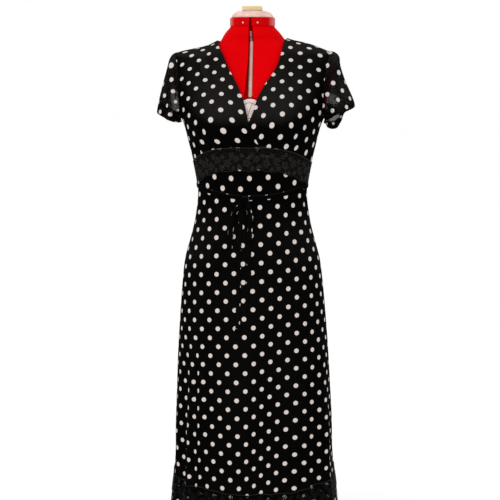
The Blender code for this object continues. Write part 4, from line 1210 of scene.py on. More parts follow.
def crepe_group():
    """Fine uneven threads of a crepe, as a height and a tone."""
    cloth, given, put = new_group("crepe_weave", "Cloth", {"Thread": 0.00042}, ("Height", "Tone"))
    pebble = noise(cloth, 900.0, 2.0, 0.6)
    parts = split(cloth.vector("ADD", pebble["Color"].vector("MULTIPLY", (0.00035, 0.00035, 0.0))))
    turns = 1.0 / given["Thread"] * math.pi
    threads = abs(calc("SINE", parts["X"] * turns)) * abs(calc("SINE", parts["Y"] * turns))
    feed(put["Height"], pebble["Fac"] * 0.7 + threads)
    feed(put["Tone"], noise(cloth, 26.0, 4.0)["Fac"] * 0.5 + threads * 0.5)


def flower(parts, middle, radius, petals, turn):
    """Distance inside the edge of one lace flower in each repeat of a band, and distance from its middle."""
    share = (parts["X"] - (middle[0] - 0.5 * LACE_REPEAT)) / LACE_REPEAT
    x = (calc("FRACT", share) - 0.5) * LACE_REPEAT
    y = parts["Y"] - middle[1]
    away = calc("SQRT", x * x + y * y)
    wave = calc("COSINE", calc("ARCTAN2", y, x) * petals + turn)
    return wave * (0.20 * radius) + 0.80 * radius - away, away


def lace_group():
    """Floral lace on a hexagonal net: what it covers, its height and its tone."""
    cloth, given, put = new_group(
        "floral_lace", "Cloth", {"Edge": 0.02, "Net": 0.16}, ("Cover", "Height", "Tone"),
    )
    lumps = noise(cloth, 160.0, 3.0)
    bent = cloth.vector("ADD", lumps["Color"].vector("MULTIPLY", (0.0022, 0.0022, 0.0)))
    parts = split(bent)
    bodies = []
    veins = []
    for middle, radius, petals, turn in LACE_FLOWERS:
        inside, away = flower(parts, middle, radius, petals, turn)
        bodies.append(inside.step(-0.0002, 0.0004))
        ring = abs(away - 0.45 * radius).step(0.0003, 0.0009, 1.0, 0.0)
        veins.append(greatest(ring * bodies[-1], abs(inside).step(0.0004, 0.0010, 1.0, 0.0)))
    solid = greatest(*bodies)
    vein = greatest(*veins)
    stems = web(bent, 78.0).step(0.030, 0.075, 1.0, 0.0)
    net = (web(cloth, 560.0, 0.35) - given["Net"]).step(0.0, 0.08, 1.0, 0.0)
    pores = web(cloth, 900.0, 0.6).step(0.44, 0.52, 1.0, 0.0)
    edges = given["Edge"].step(0.0010, 0.0018, 1.0, 0.0)
    raised = greatest(vein * 0.8 + solid * 0.6, edges, net * 0.35)
    feed(put["Cover"], greatest(solid * pores, vein, stems, net, edges))
    feed(put["Height"], raised)
    # Tone: random mottling, plus a lighter share on the raised threads that the lace materials paint as
    # sheen.
    feed(put["Tone"], lumps["Fac"] * 0.5 + raised * 0.45)


def knit_group():
    """Fine jersey ribs and small stitches on the form's cover."""
    place, given, put = new_group("jersey_knit", "Place", {"Stitch": 0.0011}, ("Height", "Tone"))
    parts = split(place)
    turns = math.tau / given["Stitch"]
    rib = calc("SINE", calc("ARCTAN2", parts["X"], parts["Y"] * -1.0) * 0.11 * turns)
    stitch = calc("SINE", (abs(rib) * 0.0006 + parts["Z"]) * turns)
    feed(put["Height"], rib * 0.5 + stitch * 0.35)
    feed(put["Tone"], noise(place, 700.0, 2.0)["Fac"] * 0.35 + noise(place, 9.0, 5.0)["Fac"] * 0.65)


def worn_group():
    """Fine grain and faint clouds of dust and handling on a hard surface."""
    place, given, put = new_group("handled_surface", "Place", {"Grain": 900.0}, ("Height", "Dust"))
    feed(put["Height"], noise(place, given["Grain"], 3.0)["Fac"])
    feed(put["Dust"], noise(place, 28.0, 6.0, 0.65)["Fac"].step(0.42, 0.72))


def use_group(name, place, **inputs):
    """Places a built group in the material that a place belongs to."""
    made = place.socket.id_data.nodes.new("ShaderNodeGroup")
    made.node_tree = bpy.data.node_groups[name]
    feed(made.inputs[0], place)
    for key, value in inputs.items():
        feed(made.inputs[key], value)
    return wires(made.outputs)


def new_material(name, on_cloth=False):
    """Material, its Principled shader's sockets, and places on the cloth or in the object."""
    made = bpy.data.materials.new(name)
    made.use_nodes = True
    tree = made.node_tree
    if on_cloth:
        place = node(tree, "ShaderNodeUVMap", uv_map="cloth")["UV"]
    else:
        place = node(tree, "ShaderNodeTexCoord")["Object"]
    return made, tree.nodes["Principled BSDF"].inputs, place


def surface(shader, colour, roughness, specular, height, distance, strength=1.0):
    """Gives a shader its colour, roughness, specular level and bumps."""
    feed(shader["Base Color"], colour)
    feed(shader["Roughness"], roughness)
    feed(shader["Specular IOR Level"], specular)
    bump = {"Height": height, "Distance": distance, "Strength": strength}
    feed(shader["Normal"], node(height.socket.id_data, "ShaderNodeBump", bump)["Normal"])


def dotted_material(name, sheer):
    """Black crepe or chiffon with printed off-white dots, and painted sheen where the cloth faces up."""
    cloth = bpy.context.scene.dress_cloth
    made, shader, place = new_material(name, True)
    dot = use_group("dot_print", place, Period=cloth.dot_period, Diameter=cloth.dot_size)["Dot"]
    weave = use_group("crepe_weave", place, Thread=cloth.thread)
    upward = split(node(made.node_tree, "ShaderNodeNewGeometry")["Normal"])["Z"]
    # Painted sheen: the black ground is painted lighter where the cloth faces up; a little of the weave's
    # random tone joins the same mix.
    top_sheen_and_weave = upward.step(0.02, 0.60) * 0.85 + weave["Tone"] * 0.12
    ground = mixed(top_sheen_and_weave, cloth.ground_low, cloth.ground_sheen_high)
    printed = mixed(weave["Tone"], cloth.dot_low, cloth.dot_high)
    surface(shader, mixed(dot, ground, printed), dot * -0.08 + 0.86, 0.005, weave["Height"], 0.00008, 0.7)
    if sheer:
        layers = node(made.node_tree, "ShaderNodeAttribute", attribute_name="layers")["Fac"]
        open_share = calc("POWER", 1.0 - sheer, weave["Tone"] * 0.16 + layers)
        feed(shader["Alpha"], calc("MAXIMUM", dot, 1.0 - open_share, True))
    return made


def lace_material(name, net_width, low, high):
    """Black lace threads over the cloth, the raised threads painted lighter as sheen, with random mottling.
    """
    made, shader, place = new_material(name, True)
    edge = node(made.node_tree, "ShaderNodeAttribute", attribute_name="from_edge")["Fac"]
    net = use_group("floral_lace", place, Edge=edge, Net=net_width)
    # Painted sheen: the high tone goes on the raised threads.
    colour = mixed(calc("POWER", net["Tone"], 2.2), low, high)
    surface(shader, colour, net["Tone"] * -0.15 + 0.82, 0.02, net["Height"], 0.0004, 0.9)
    feed(shader["Alpha"], net["Cover"])
    return made


def thread_material(name, colour):
    """Twisted thread or cord."""
    made, shader, place = new_material(name)
    fuzz = noise(place, 1400.0, 2.0)["Fac"]
    dark = tuple(0.6 * part for part in colour)
    surface(shader, mixed(fuzz, dark, colour), fuzz * 0.1 + 0.8, 0.2, fuzz, 0.00015)
    return made


def jersey_material(name, low, high):
    """Bright red jersey stretched over the form."""
    made, shader, place = new_material(name)
    knit = use_group("jersey_knit", place, Stitch=0.0011)
    colour = mixed(knit["Tone"], low, high)
    surface(shader, colour, knit["Tone"] * 0.12 + 0.78, 0.02, knit["Height"], 0.00010, 0.8)
    return made


def hard_material(name, low, high, roughness, metallic, specular):
    """Moulded, painted or metal part with fine grain and faint dust."""
    made, shader, place = new_material(name)
    worn = use_group("handled_surface", place, Grain=900.0)
    colour = mixed(worn["Dust"], low, high)
    surface(shader, colour, worn["Dust"] * 0.12 + roughness, specular, worn["Height"], 0.00006, 0.5)
    shader["Metallic"].default_value = metallic
    return made


def collar_material(name, red, reflection_pink):
    """Glossy red band with painted reflection: pale pink, faintly striped zones towards both sides."""
    made, shader, place = new_material(name)
    worn = use_group("handled_surface", place, Grain=300.0)
    side = worn["Dust"] * 0.02 + abs(split(place)["X"]) / COLLAR_OUTER
    # Painted reflection: the band is painted pale pink with faint stripes towards its sides.
    pale = side.step(0.74, 0.97) * (calc("SINE", side * 150.0) * 0.18 + 0.66)
    colour = mixed(pale, red, reflection_pink)
    surface(shader, colour, worn["Dust"] * 0.10 + 0.30, 0.02, worn["Height"], 0.00004, 0.4)
    return made


def bar_material(name):
    """Worn pinkish plastic bar, with painted shade along the wearer's right edge, where it lies in the slot.
    """
    made, shader, place = new_material(name)
    worn = use_group("handled_surface", place, Grain=900.0)
    body = mixed(worn["Dust"], (0.52, 0.33, 0.28), (0.62, 0.42, 0.37))
    # Painted shade: the dark brown along the wearer's right edge stands for the slot's shade on the bar.
    painted_slot_shade = (worn["Dust"] * 0.0006 + split(place)["X"]).step(-0.0036, 0.0012, 1.0, 0.0)
    colour = mixed(painted_slot_shade, body, (0.10, 0.055, 0.042))
    surface(shader, colour, painted_slot_shade * 0.2 + 0.42, 0.1, worn["Height"], 0.00006, 0.5)
    return made


def dial_material(name, low, high):
    """Pale plastic dial with a brown ring and a brown line on its face."""
    made, shader, place = new_material(name)
    worn = use_group("handled_surface", place, Grain=900.0)
    parts = split(place)
    x = parts["X"] - DIAL_X
    z = parts["Z"] - DIAL_Z
    away = calc("SQRT", x * x + z * z)
    ring = abs(away - DIAL_RING).step(0.0004, 0.0009, 1.0, 0.0)
    line = abs(x * 0.94 + z * -0.34).step(0.0004, 0.0009, 1.0, 0.0)
    drawn = greatest(ring, line * away.step(0.0178, DIAL_RING, 1.0, 0.0))
    colour = mixed(drawn, mixed(worn["Dust"], low, high), (0.12, 0.045, 0.02))
    surface(shader, colour, drawn * 0.2 + 0.36, 0.35, drawn * -1.0 + worn["Height"] * 0.1, 0.0003)
    return made


def speckled_material(name):
    """Greyish pink worn plastic with dark specks."""
    made, shader, place = new_material(name)
    specks = node(made.node_tree, "ShaderNodeTexVoronoi", {"Vector": place, "Scale": 260.0})["Distance"]
    cloud = noise(place, 190.0, 4.0)["Fac"]
    body = mixed(cloud.step(0.40, 0.62), (0.17, 0.06, 0.055), (0.42, 0.22, 0.20))
    colour = mixed(specks.step(0.18, 0.34, 1.0, 0.0), body, (0.030, 0.012, 0.010))
    surface(shader, colour, cloud * 0.2 + 0.45, 0.3, cloud, 0.0003)
    return made


def studio_material(name):
    """Matte white paper with a faint grain."""
    made, shader, place = new_material(name)
    feed(shader["Base Color"], mixed(noise(place, 40.0, 3.0)["Fac"], (0.993,) * 3, (0.999,) * 3))
    shader["Roughness"].default_value = 0.95
    shader["Specular IOR Level"].default_value = 0.0
    return made


def tone(name, description, *default):
    """Setting for a colour."""
    return bpy.props.FloatVectorProperty(
        name=name, description=description, default=default, subtype="COLOR", min=0.0, max=1.0,
    )


def measure(name, description, default, low, high):
    """Setting for a length."""
    return bpy.props.FloatProperty(
        name=name, description=description, default=default, min=low, max=high, unit="LENGTH",
    )


def turn_of(name, description, default):
    """Setting for an angle, whose default is given in degrees."""
    return bpy.props.FloatProperty(
        name=name, description=description, default=math.radians(default), subtype="ANGLE",
    )


class DressCloth(bpy.types.PropertyGroup):
    """Sizes and colours of the dotted crepe and chiffon."""

    dot_period: measure(
        "Dot Grid", "Side of the square with a dot at each corner and one in its middle", 0.045, 0.01, 0.2,
    )
    dot_size: measure("Dot", "Diameter of a dot", 0.0115, 0.002, 0.05)
    thread: measure("Thread", "Distance between threads", 0.00045, 0.0001, 0.003)
    ground_low: tone("Ground, Dark", "Darker tone of the black ground", 0.0006, 0.0006, 0.0006)
    # Painted sheen: the lighter ground tone is painted on cloth that faces up, and also tops the weave's
    # random tone.
    ground_sheen_high: tone("Ground, Painted Sheen", "Lighter tone of the black ground", 0.0125, 0.0112, 0.0105)
    dot_low: tone("Dot, Dark", "Darker tone of the printed dots", 0.51, 0.455, 0.42)
    dot_high: tone("Dot, Light", "Lighter tone of the printed dots", 0.62, 0.565, 0.525)
    sheer_cover: bpy.props.FloatProperty(
        name="Chiffon Cover", description="Share of light that one face of the sheer cloth stops",
        default=0.48, min=0.1, max=1.0,
    )


class DressLace(bpy.types.PropertyGroup):
    """Colours of the lace."""

    thread_low: tone("Thread, Dark", "Tone of the net", 0.0008, 0.0007, 0.0006)
    # Painted sheen: the lighter tone of the raised lace threads.
    raised_thread_sheen: tone("Thread, Painted Sheen", "Tone of the raised threads", 0.0300, 0.0270, 0.0245)
    # Painted shade: near the hem the raised threads are painted darker than at the waist, for the dimmer
    # light low on the dress.
    hem_thread_sheen_in_shade: tone("Thread, Hem, Painted Shade", "Tone of the raised threads near the hem", 0.0080, 0.0072, 0.0066)
    cord_tone: tone("Edge Cord", "Tone of the cord along an edge", 0.026, 0.024, 0.022)


class DressFormLooks(bpy.types.PropertyGroup):
    """Colours of the form."""

    red_low: tone("Jersey, Dark", "Darker tone of the red jersey", 0.56, 0.0, 0.001)
    red_high: tone("Jersey, Light", "Lighter tone of the red jersey", 0.68, 0.0, 0.002)
    collar_red: tone("Collar, Red", "Red of the neck band", 0.50, 0.0, 0.001)
    # Painted reflection: the pale pink at the collar's sides.
    collar_reflection: tone("Collar, Painted Reflection", "Pale zone at the sides of the collar", 0.60, 0.20, 0.20)
    plastic_low: tone("Plastic, Dark", "Darker tone of the pale dial", 0.56, 0.45, 0.43)
    plastic_high: tone("Plastic, Light", "Lighter tone of the pale dial", 0.70, 0.60, 0.57)


class DressStudio(bpy.types.PropertyGroup):
    """Camera of the studio."""

    distance: measure("Distance", "Level distance from the dress's axis to the camera", 2.884, 1.0, 10.0)
    height: measure("Height", "Height of the camera", 1.3706, 0.1, 4.0)
    azimuth: turn_of("Azimuth", "Turn of the camera from the front towards the wearer's left", 4.5)
    pitch: turn_of("Pitch", "How far the camera looks down", 9.5)
    aside: turn_of("Aside", "How far the axis stands right of the picture's middle, as an angle", 0.126)
    lens: bpy.props.FloatProperty(
        name="Lens", description="Focal length on a 36 mm sensor, in millimetres", default=81.76, min=10.0,
        max=300.0,
    )


FINISHES = {}


def make_finish(name):
    """New material of a finish."""
    if name in HARD_FINISHES:
        return hard_material(name, *HARD_FINISHES[name])
    scene = bpy.context.scene
    lace = scene.dress_lace
    looks = scene.dress_form
    makers = {
        "dotted_crepe": (dotted_material, 0.0),
        "dotted_chiffon": (dotted_material, scene.dress_cloth.sheer_cover),
        "waist_lace": (lace_material, 0.16, lace.thread_low, lace.raised_thread_sheen),
        # The hem lace is a darker copy of the waist lace: painted shade low on the dress.
        "hem_lace": (lace_material, 0.05, lace.thread_low, lace.hem_thread_sheen_in_shade),
        "lace_cord": (thread_material, tuple(lace.cord_tone)),
        "black_thread": (thread_material, (0.010, 0.010, 0.011)),
        "form_jersey": (jersey_material, looks.red_low, looks.red_high),
        "form_collar": (collar_material, looks.collar_red, looks.collar_reflection),
        "bar_plastic": (bar_material,),
        "dial_plastic": (dial_material, looks.plastic_low, looks.plastic_high),
        "speckled_tip": (speckled_material,),
    }
    maker, *settings = makers[name]
    return maker(name, *settings)


def finish_of(name):
    """Material of a finish, made on its first use."""
    if not FINISHES:
        for build in (dot_print_group, crepe_group, lace_group, knit_group, worn_group):
            build()
    if name not in FINISHES:
        FINISHES[name] = make_finish(name)
    return FINISHES[name]


def held_at(points, borders):
    """How freely cloth may rise at each point: little next to the seams that hold it."""
    free = np.ones(points.shape[:2])
    for border in borders:
        free = np.minimum(free, ramp(distance_from(points, border) / HELD_REACH))
    return HELD_SHARE + (1.0 - HELD_SHARE) * free


def dart_lines(points, name):
    """Column and length of each dart of a bodice front."""
    return [(round(share * (points.shape[1] - 1)), length) for share, length in DARTS[name]]


def dart_columns(points, name):
    """Column of each dart and the number of its rows that are open."""
    upward = distance_from(points, "foot")
    return [(column, int((upward[:, column] < length).sum())) for column, length in dart_lines(points, name)]


def dart_rise(points, name):
    """Narrow trough along each dart."""
    total = np.zeros(points.shape[:2])
    across = distance_from(points, "start")
    upward = distance_from(points, "foot")
    for column, length in dart_lines(points, name):
        away = across - across[:, column:column + 1]
        fade = ramp((length * 1.15 - upward[:, column:column + 1]) / (0.5 * length))
        total -= DART_DEPTH * fade * bell(away / DART_WIDTH)
        total += 0.0007 * fade * bell((away - 0.007) / 0.006)
    return total


def crepe_piece(name, points, outer, normal, middle, darts=()):
    """Dotted crepe piece that stands for its solid, and its cut."""
    flat, corners = lay_flat(points, middle, darts)
    inner = outer - normal * LAYER_OF_CLOTH
    piece = shell(name + "_cloth", outer, inner, dotted(corners, name), finish_of("dotted_crepe"))
    return show(piece, "dotted_cloth", name), flat


def make_bodice_front(side, name):
    """One wrapped front, from the side seam and armhole to its neckline edge."""
    u, v = grid(84, 110)
    x, height = front_panel(2 if side > 0.0 else 1, u, row_share(v))
    angle = side * angle_of(x, height)
    points = skin_point(angle, height)
    under = 0.0
    if side > 0.0:
        under = -0.8 * WRAP_DROP * ramp((0.056 - x) / 0.020) * ramp((1.40 - height) / 0.10)
    rise = crease_rise(side * x, height, BODICE_CREASES) + dart_rise(points, name)
    rise = rise + ripple(side * x, height, 0.030, 0.0003)
    rise = rise * held_at(points, ("foot", "top", "start"))
    from_edge = distance_from(points, "end")
    normal = skin_normal(angle, height)
    outer = points + normal * (under + rise + turned_edge(from_edge, WRAP_TURN, TURN_RISE))[..., None]
    piece, flat = crepe_piece(name, points, outer, normal, 60, dart_columns(points, name))
    inset = line_at(outer[:, ::-1], from_edge[:, ::-1], WRAP_SEWN)
    stitches = sewing(name + "_stitches", inset, normal[:, -3])
    declare_sheet(points)


def seam_allowance(name, angle, height, rise=0.0, upright=0.0):
    """Pressed seam allowance behind a seam, a narrow strip of plain cloth."""
    normal = skin_normal(angle, height, True, upright)
    behind = np.asarray(rise - LAYER_OF_CLOTH - ALLOWANCE_BEHIND)[..., None]
    outer = skin_point(angle, height) + normal * behind
    spots = np.zeros(angle.shape + (2,))
    piece = shell(name, outer, outer - normal * ALLOWANCE_LAYER, spots, finish_of("black_thread"))
    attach(piece, "root")
    return piece


def level_allowance(name, seam, start, end):
    """Allowance behind a seam that runs round the body between two angles."""
    u, v = grid(160, 2)
    angle = start + (end - start) * u
    return seam_allowance(name, angle, seam(angle) + (v - 0.5) * ALLOWANCE_WIDTH)


def side_allowance(name, side, low, high, is_skirt):
    """Allowance behind a side seam between two heights."""
    u, v = grid(2, 120)
    height = low + (high - low) * v
    reach = np.degrees(ALLOWANCE_WIDTH / eased(SECTIONS, height, 3))
    angle = side * (side_angle(height) + (u - 0.5) * reach)
    if is_skirt:
        return seam_allowance(name, angle, height, skirt_rise(angle, height), 1.0)
    return seam_allowance(name, angle, height)


def make_bodice_back():
    """The back bodice, from the waist seam to the neck."""
    u, v = grid(140, 120)
    x, height = back_panel(u, row_share(v))
    angle = back_angle_of(x, height)
    points = skin_point(angle, height)
    rise = wrapped_creases(angle, height, BACK_CREASES) + ripple(x, height, 0.034, 0.0003)
    rise = rise * held_at(points, ("foot", "top", "start", "end"))
    normal = skin_normal(angle, height)
    piece, flat = crepe_piece("bodice_back", points, points + normal * rise[..., None], normal, 70)
    strips = [
        side_allowance("bodice_seam_" + name, side, WAIST_SIDE, UNDERARM - 0.004, False)
        for name, side in (("right", -1.0), ("left", 1.0))
    ]
    declare_sheet(points)


def make_lace(name, angle, height, out, upright, finish):
    """Lace band over the cloth, with a fine cord along its upper edge."""
    points = skin(angle, height, out, True, upright)
    normal = skin_normal(angle, height, True, upright)
    upward = distance_from(points, "foot")
    spots = joined(lengths(points[len(points) // 2]), upward)
    piece = shell(name + "_net", points, points - normal * LAYER_OF_LACE, spots, finish_of(finish))
    marked(piece.data, "from_edge", np.minimum(upward, distance_from(points, "top")))
    show(piece, "black_lace", name)
    edge = cord(name + "_cord", points[-1] + normal[-1] * 0.0001, LACE_CORD, finish_of("lace_cord"))
    declare_sheet(points)


def make_midriff():
    """Dotted midriff between the bust seam and the waist seam."""
    u, v = grid(150, 34)
    angle = (2.0 * u - 1.0) * MIDRIFF_REACH
    low = waist_seam(angle) + 0.5 * SEAM_GAP
    high = bust_seam(angle) - 0.5 * SEAM_GAP
    height = low + (high - low) * v
    points = skin_point(angle, height)
    piece, flat = crepe_piece("midriff_front", points, points, skin_normal(angle, height), 75)
    strips = [
        level_allowance("bust_seam", bust_seam, -MIDRIFF_REACH, MIDRIFF_REACH),
        level_allowance("waist_seam_front", waist_seam, -MIDRIFF_REACH, MIDRIFF_REACH),
        level_allowance("waist_seam_back", waist_seam, MIDRIFF_REACH, 360.0 - MIDRIFF_REACH),
    ]
    declare_sheet(points)


def make_waist_lace():
    """Scalloped lace band on the midriff."""
    u, v = grid(270, 24)
    turn = 2.0 * u - 1.0
    angle = turn * MIDRIFF_REACH
    low = waist_seam(angle) + 0.5 * SEAM_GAP
    middle = np.maximum(lace_foot(angle), low + 0.0016)
    high = bust_seam(angle) - 0.5 * SEAM_GAP
    wave = np.abs(np.sin(math.pi * SCALLOPS * u))
    foot = middle + SCALLOP_RISE * (0.6 - wave) * ramp((1.0 - np.abs(turn)) * 9.0)
    foot = np.maximum(foot, low + 0.0008)
    height = foot + (high - foot) * v
    make_lace("lace_waist_front", angle, height, LAYER, 0.0, "waist_lace")


def skirt_angle(u, height, front):
    """Angle of a skirt column, half a seam gap short of the side seams."""
    if front:
        return (2.0 * u - 1.0) * side_angle(height)
    edge = seam_turn(height, 3)
    return 90.0 + edge + (180.0 - 2.0 * edge) * u


def skirt_rise(angle, height):
    """Creases and shallow ripples of the skirt, flounce and hem lace, held at the waist seam."""
    around_skirt = (angle + 90.0) % 360.0 - 90.0
    rise = wrapped_creases(around_skirt, height, SKIRT_CREASES)
    rise = rise + ripple(around_skirt * 0.0033, height, 0.052, 0.0006)
    return rise * (0.15 + 0.85 * ramp((waist_seam(angle) - height) / 0.030))


def make_skirt(front, name):
    """Skirt panel from the waist seam to the flounce."""
    u, v = grid(180, 190)
    high = waist_seam(skirt_angle(u, np.full_like(u, 1.04), front)) - 0.5 * SEAM_GAP
    low = HEM_SEAM + 0.5 * SEAM_GAP
    height = low + (high - low) * v
    angle = skirt_angle(u, height, front)
    points = skin_point(angle, height)
    normal = skin_normal(angle, height, True, 1.0)
    outer = points + normal * skirt_rise(angle, height)[..., None]
    piece, flat = crepe_piece(name, points, outer, normal, 90)
    strip = side_allowance(name + "_seam", -1.0 if front else 1.0, low, WAIST_SIDE - 0.004, True)
    declare_sheet(points)


def make_flounce(front, name):
    """Dotted flounce below the seam under the hem lace."""
    u, v = grid(240, 30)
    height = HEM + (HEM_SEAM - 0.5 * SEAM_GAP - HEM) * v
    angle = skirt_angle(u, height, front)
    points = skin_point(angle, height)
    normal = skin_normal(angle, height, True, 1.0)
    edge = turned_edge(distance_from(points, "foot"), HEM_TURN, TURN_RISE)
    outer = points + normal * (skirt_rise(angle, height) + edge)[..., None]
    piece, flat = crepe_piece(name, points, outer, normal, 120)
    sewn = np.full_like(angle[0], HEM + HEM_SEWN)
    hem = skin_point(angle[0], sewn) + normal[1] * (skirt_rise(angle[0], sewn) + 0.00025)[:, None]
    stitches = sewing(name + "_stitches", hem, normal[1])
    declare_sheet(points)


def make_hem_lace(front, name):
    """Lace band over the join of the skirt and the flounce."""
    u, v = grid(288, 20)
    wave = np.abs(np.sin(math.pi * HEM_SCALLOPS * u)) - 0.6
    foot = HEM_LACE_FOOT - 0.5 * SCALLOP_RISE * wave
    top = HEM_LACE_TOP + 0.5 * SCALLOP_RISE * wave
    height = foot + (top - foot) * v
    angle = skirt_angle(u, height, front)
    out = LAYER + skirt_rise(angle, height)
    make_lace("lace_hem_" + name, angle, height, out, 1.0, "hem_lace")


def armhole_points(side, share, out):
    """Points along an armhole, out from the body: up the front and down the back, seen on the left side."""
    share = share % 1.0
    rise = row_share((FRONT_UNDERARM_ROW + SLEEVE_LINES * np.minimum(share, 0.5)) / FRONT_ROWS)
    x, height = FRONT_ARMHOLE((rise - FRONT_UNDERARM) / (1.0 - FRONT_UNDERARM))
    front = skin(side * angle_of(x, height), height, out)
    rise = row_share((BACK_UNDERARM_ROW + SLEEVE_LINES * (1.0 - np.maximum(share, 0.5))) / BACK_ROWS)
    x, height = BACK_ARMHOLE((rise - BACK_UNDERARM) / (1.0 - BACK_UNDERARM))
    back = skin(side * back_angle_of(x, height), height, out)
    start = np.where((share <= 0.5)[..., None], front, back)
    start[..., 0] *= side
    return start


def sleeve_points(side, share, down):
    """Points on the middle of a sleeve's wall."""
    share = share % 1.0
    start = armhole_points(side, share, SLEEVE_STAND)
    hem = HEM_OF_LEFT_SLEEVE if side > 0.0 else HEM_OF_RIGHT_SLEEVE
    end = joined(*(eased(hem, share, axis) for axis in (1, 2, 3)))
    top = np.sin(math.pi * share)
    leave = joined(0.010 + 0.052 * top, 0.35 * start[..., 1] * top, -0.006 - 0.030 * top)
    arrive = joined(0.004 + 0.014 * top, 0.25 * end[..., 1], -0.008 - 0.115 * top)
    point = spanned(down[..., None], start, leave, end, arrive)
    which = 1 if side > 0.0 else 0
    puff = HEAD_PUFF[which] * bell((down - 0.13) / 0.17) - HEAD_SLACK[which] * bell((down - 0.62) / 0.20)
    point[..., 0] += puff * ramp(down / 0.06) * np.sin(math.pi * share) ** 2
    point[..., 0] *= side
    return point


def chiffon_layers(name, points, share, hem_distance, seam_distance):
    """How many layers of gathered chiffon lie at each point of a sleeve."""
    layers = GATHERED_LAYERS + 0.25 * np.sin(share * 41.0) * ramp(seam_distance / 0.03)
    for face, *line, reach, single in SINGLE_LAYERS[name]:
        there = (points[..., 1] * face) > -0.004
        away = line_distance(points[..., 0], points[..., 2], *line)[1]
        layers = layers + (single - layers) * ramp((reach - away) / 0.005 + 0.5) * there
    hem = 1.0 - ramp((hem_distance - SLEEVE_HEM) / 0.0008)
    seam = 1.0 - ramp((seam_distance - 0.0075) / 0.0008)
    return layers + hem * 3.0 * (layers > 1.45) + seam * 4.0


def sleeve_normal(side, points, share, down):
    """Outward directions of a sleeve's wall."""
    round_step = sleeve_points(side, share + 0.004, down) - sleeve_points(side, share - 0.004, down)
    lower = sleeve_points(side, share, np.minimum(down + 0.01, 1.0))
    upper = sleeve_points(side, share, np.maximum(down - 0.01, 0.0))
    normal = unit(side * np.cross(round_step, lower - upper))
    away = points - points[:, :-1].mean(axis=1, keepdims=True)
    return -normal if (normal * away).sum() < 0.0 else normal


def make_sleeve(side, name):
    """Short sheer sleeve, one tube from the armhole to its turned hem."""
    share, upward = grid(120, 60)
    down = 1.0 - upward
    points = sleeve_points(side, share, down)
    normal = sleeve_normal(side, points, share, down)
    rise = np.zeros_like(down)
    for middle, width, height, start in SLEEVE_FOLDS:
        turn = (share - middle + 0.5) % 1.0 - 0.5
        rise = rise + height * ramp((down - start) / (1.0 - start)) * bell(turn / width)
    rise = rise + turned_edge(distance_from(points, "foot"), SLEEVE_HEM, 0.0002)
    tucked = armhole_points(side, share[:2], SLEEVE_STAND - SLEEVE_TUCK)
    tucked[..., 0] = side * (tucked[..., 0] - np.array(((0.0006,), (SLEEVE_ALLOWANCE,))))
    points = np.concatenate((points, tucked))
    normal = np.concatenate((normal, normal[-1:], normal[-1:]))
    rise = np.concatenate((rise, np.zeros((2, rise.shape[1]))))
    hem_distance = distance_from(points, "foot")
    outer = points + normal * (rise + 0.5 * LAYER_OF_CHIFFON)[..., None]
    inner = points + normal * (rise - 0.5 * LAYER_OF_CHIFFON)[..., None]
    flat, corners = lay_flat(points, 30)
    spots = dotted(corners, name)
    piece = shell(name + "_cloth", outer, inner, spots, finish_of("dotted_chiffon"), ring=True)
    layers = chiffon_layers(name, points, share[:1], hem_distance, distance_from(points, "top"))
    marked(piece.data, "layers", layers[:, :-1])
    show(piece, "sheer_dotted_cloth", name)
    near_hem = line_at(outer.transpose(1, 0, 2), hem_distance.T, SLEEVE_HEM - 0.001)
    stitches = sewing(name + "_stitches", near_hem, normal[7])
    declare_sheet(points)


def make_ribbon(name, middle, outward, flare):
    """Tie cloth along a line, with a soft rolled edge, and its length."""
    across = unit(np.cross(np.gradient(middle, axis=0), outward))
    turn = np.arange(13) / 12 * math.tau
    side = squared(np.cos(turn), 0.6)
    up = squared(np.sin(turn), 0.8)
    wide = 0.5 * TIE_WIDTH * flare
    rows = (
        middle[:, None]
        + across[:, None] * (wide[:, None] * side)[..., None]
        + outward[:, None] * (0.5 * TIE_THICKNESS * up)[:, None]
    )
    along = lengths(middle)
    x = np.where(turn > math.pi, TIE_WIDTH - side * 0.5 * TIE_WIDTH, side * 0.5 * TIE_WIDTH)
    spots = joined(*laid(x, along[:, None], *DOTS_ON_TIES[name]))
    piece = loft(name + "_cloth", rows[:, :-1], finish_of("dotted_crepe"), 60.0, spots)
    return show(piece, "dotted_cloth", name), float(along[-1])


def skirt_place(x, height, out):
    """Points over the creased skirt at distances from the middle, and the outward directions there."""
    angle = angle_of(x, height)
    below_seam = ramp((WAIST_FRONT - height) / 0.010)
    lifted = out + np.maximum(skirt_rise(angle, height), 0.0) * below_seam
    return skin(angle, height, lifted, True, 1.0), skin_normal(angle, height, True, 1.0)


def make_tie(name, start, stop):
    """Tie along the waist seam from the side seam to the knot."""
    end_angle = math.copysign(float(angle_of(abs(stop), np.array(WAIST_FRONT))), stop)
    angle = np.linspace(start, end_angle, 90)
    height = waist_seam(angle) - 0.0015
    over_lace = LAYER * ramp((np.abs(angle) - 60.0) / 12.0)
    middle = skin(angle, height, LAYER - 0.5 * SOLID_WALL + over_lace)
    flare = 1.0 + 0.05 * np.sin(angle * 0.35) + 0.03 * np.sin(angle * 0.9 + 1.0)
    piece, length = make_ribbon(name, middle, skin_normal(angle, height), flare)


def make_tail(name, line, slant):
    """Hanging tie end on the skirt; slant is how much longer one edge of its cut end is."""
    height = np.linspace(line[-1][0], line[0][0], 110)
    middle, outward = skirt_place(eased(line, height, 1), height, TAIL_LIFT + 0.5 * SOLID_WALL)
    flare = 1.0 + 0.06 * np.sin(height * 61.0 + 0.5) - 0.05 * np.cos(height * 27.0)
    piece, length = make_ribbon(name, middle, outward, flare)
    for vert in piece.data.vertices:
        near = 1.0 - min((vert.co.z - line[0][0]) / 0.020, 1.0)
        vert.co.z -= slant * max(near, 0.0) * (vert.co.x - line[0][1]) / TIE_WIDTH


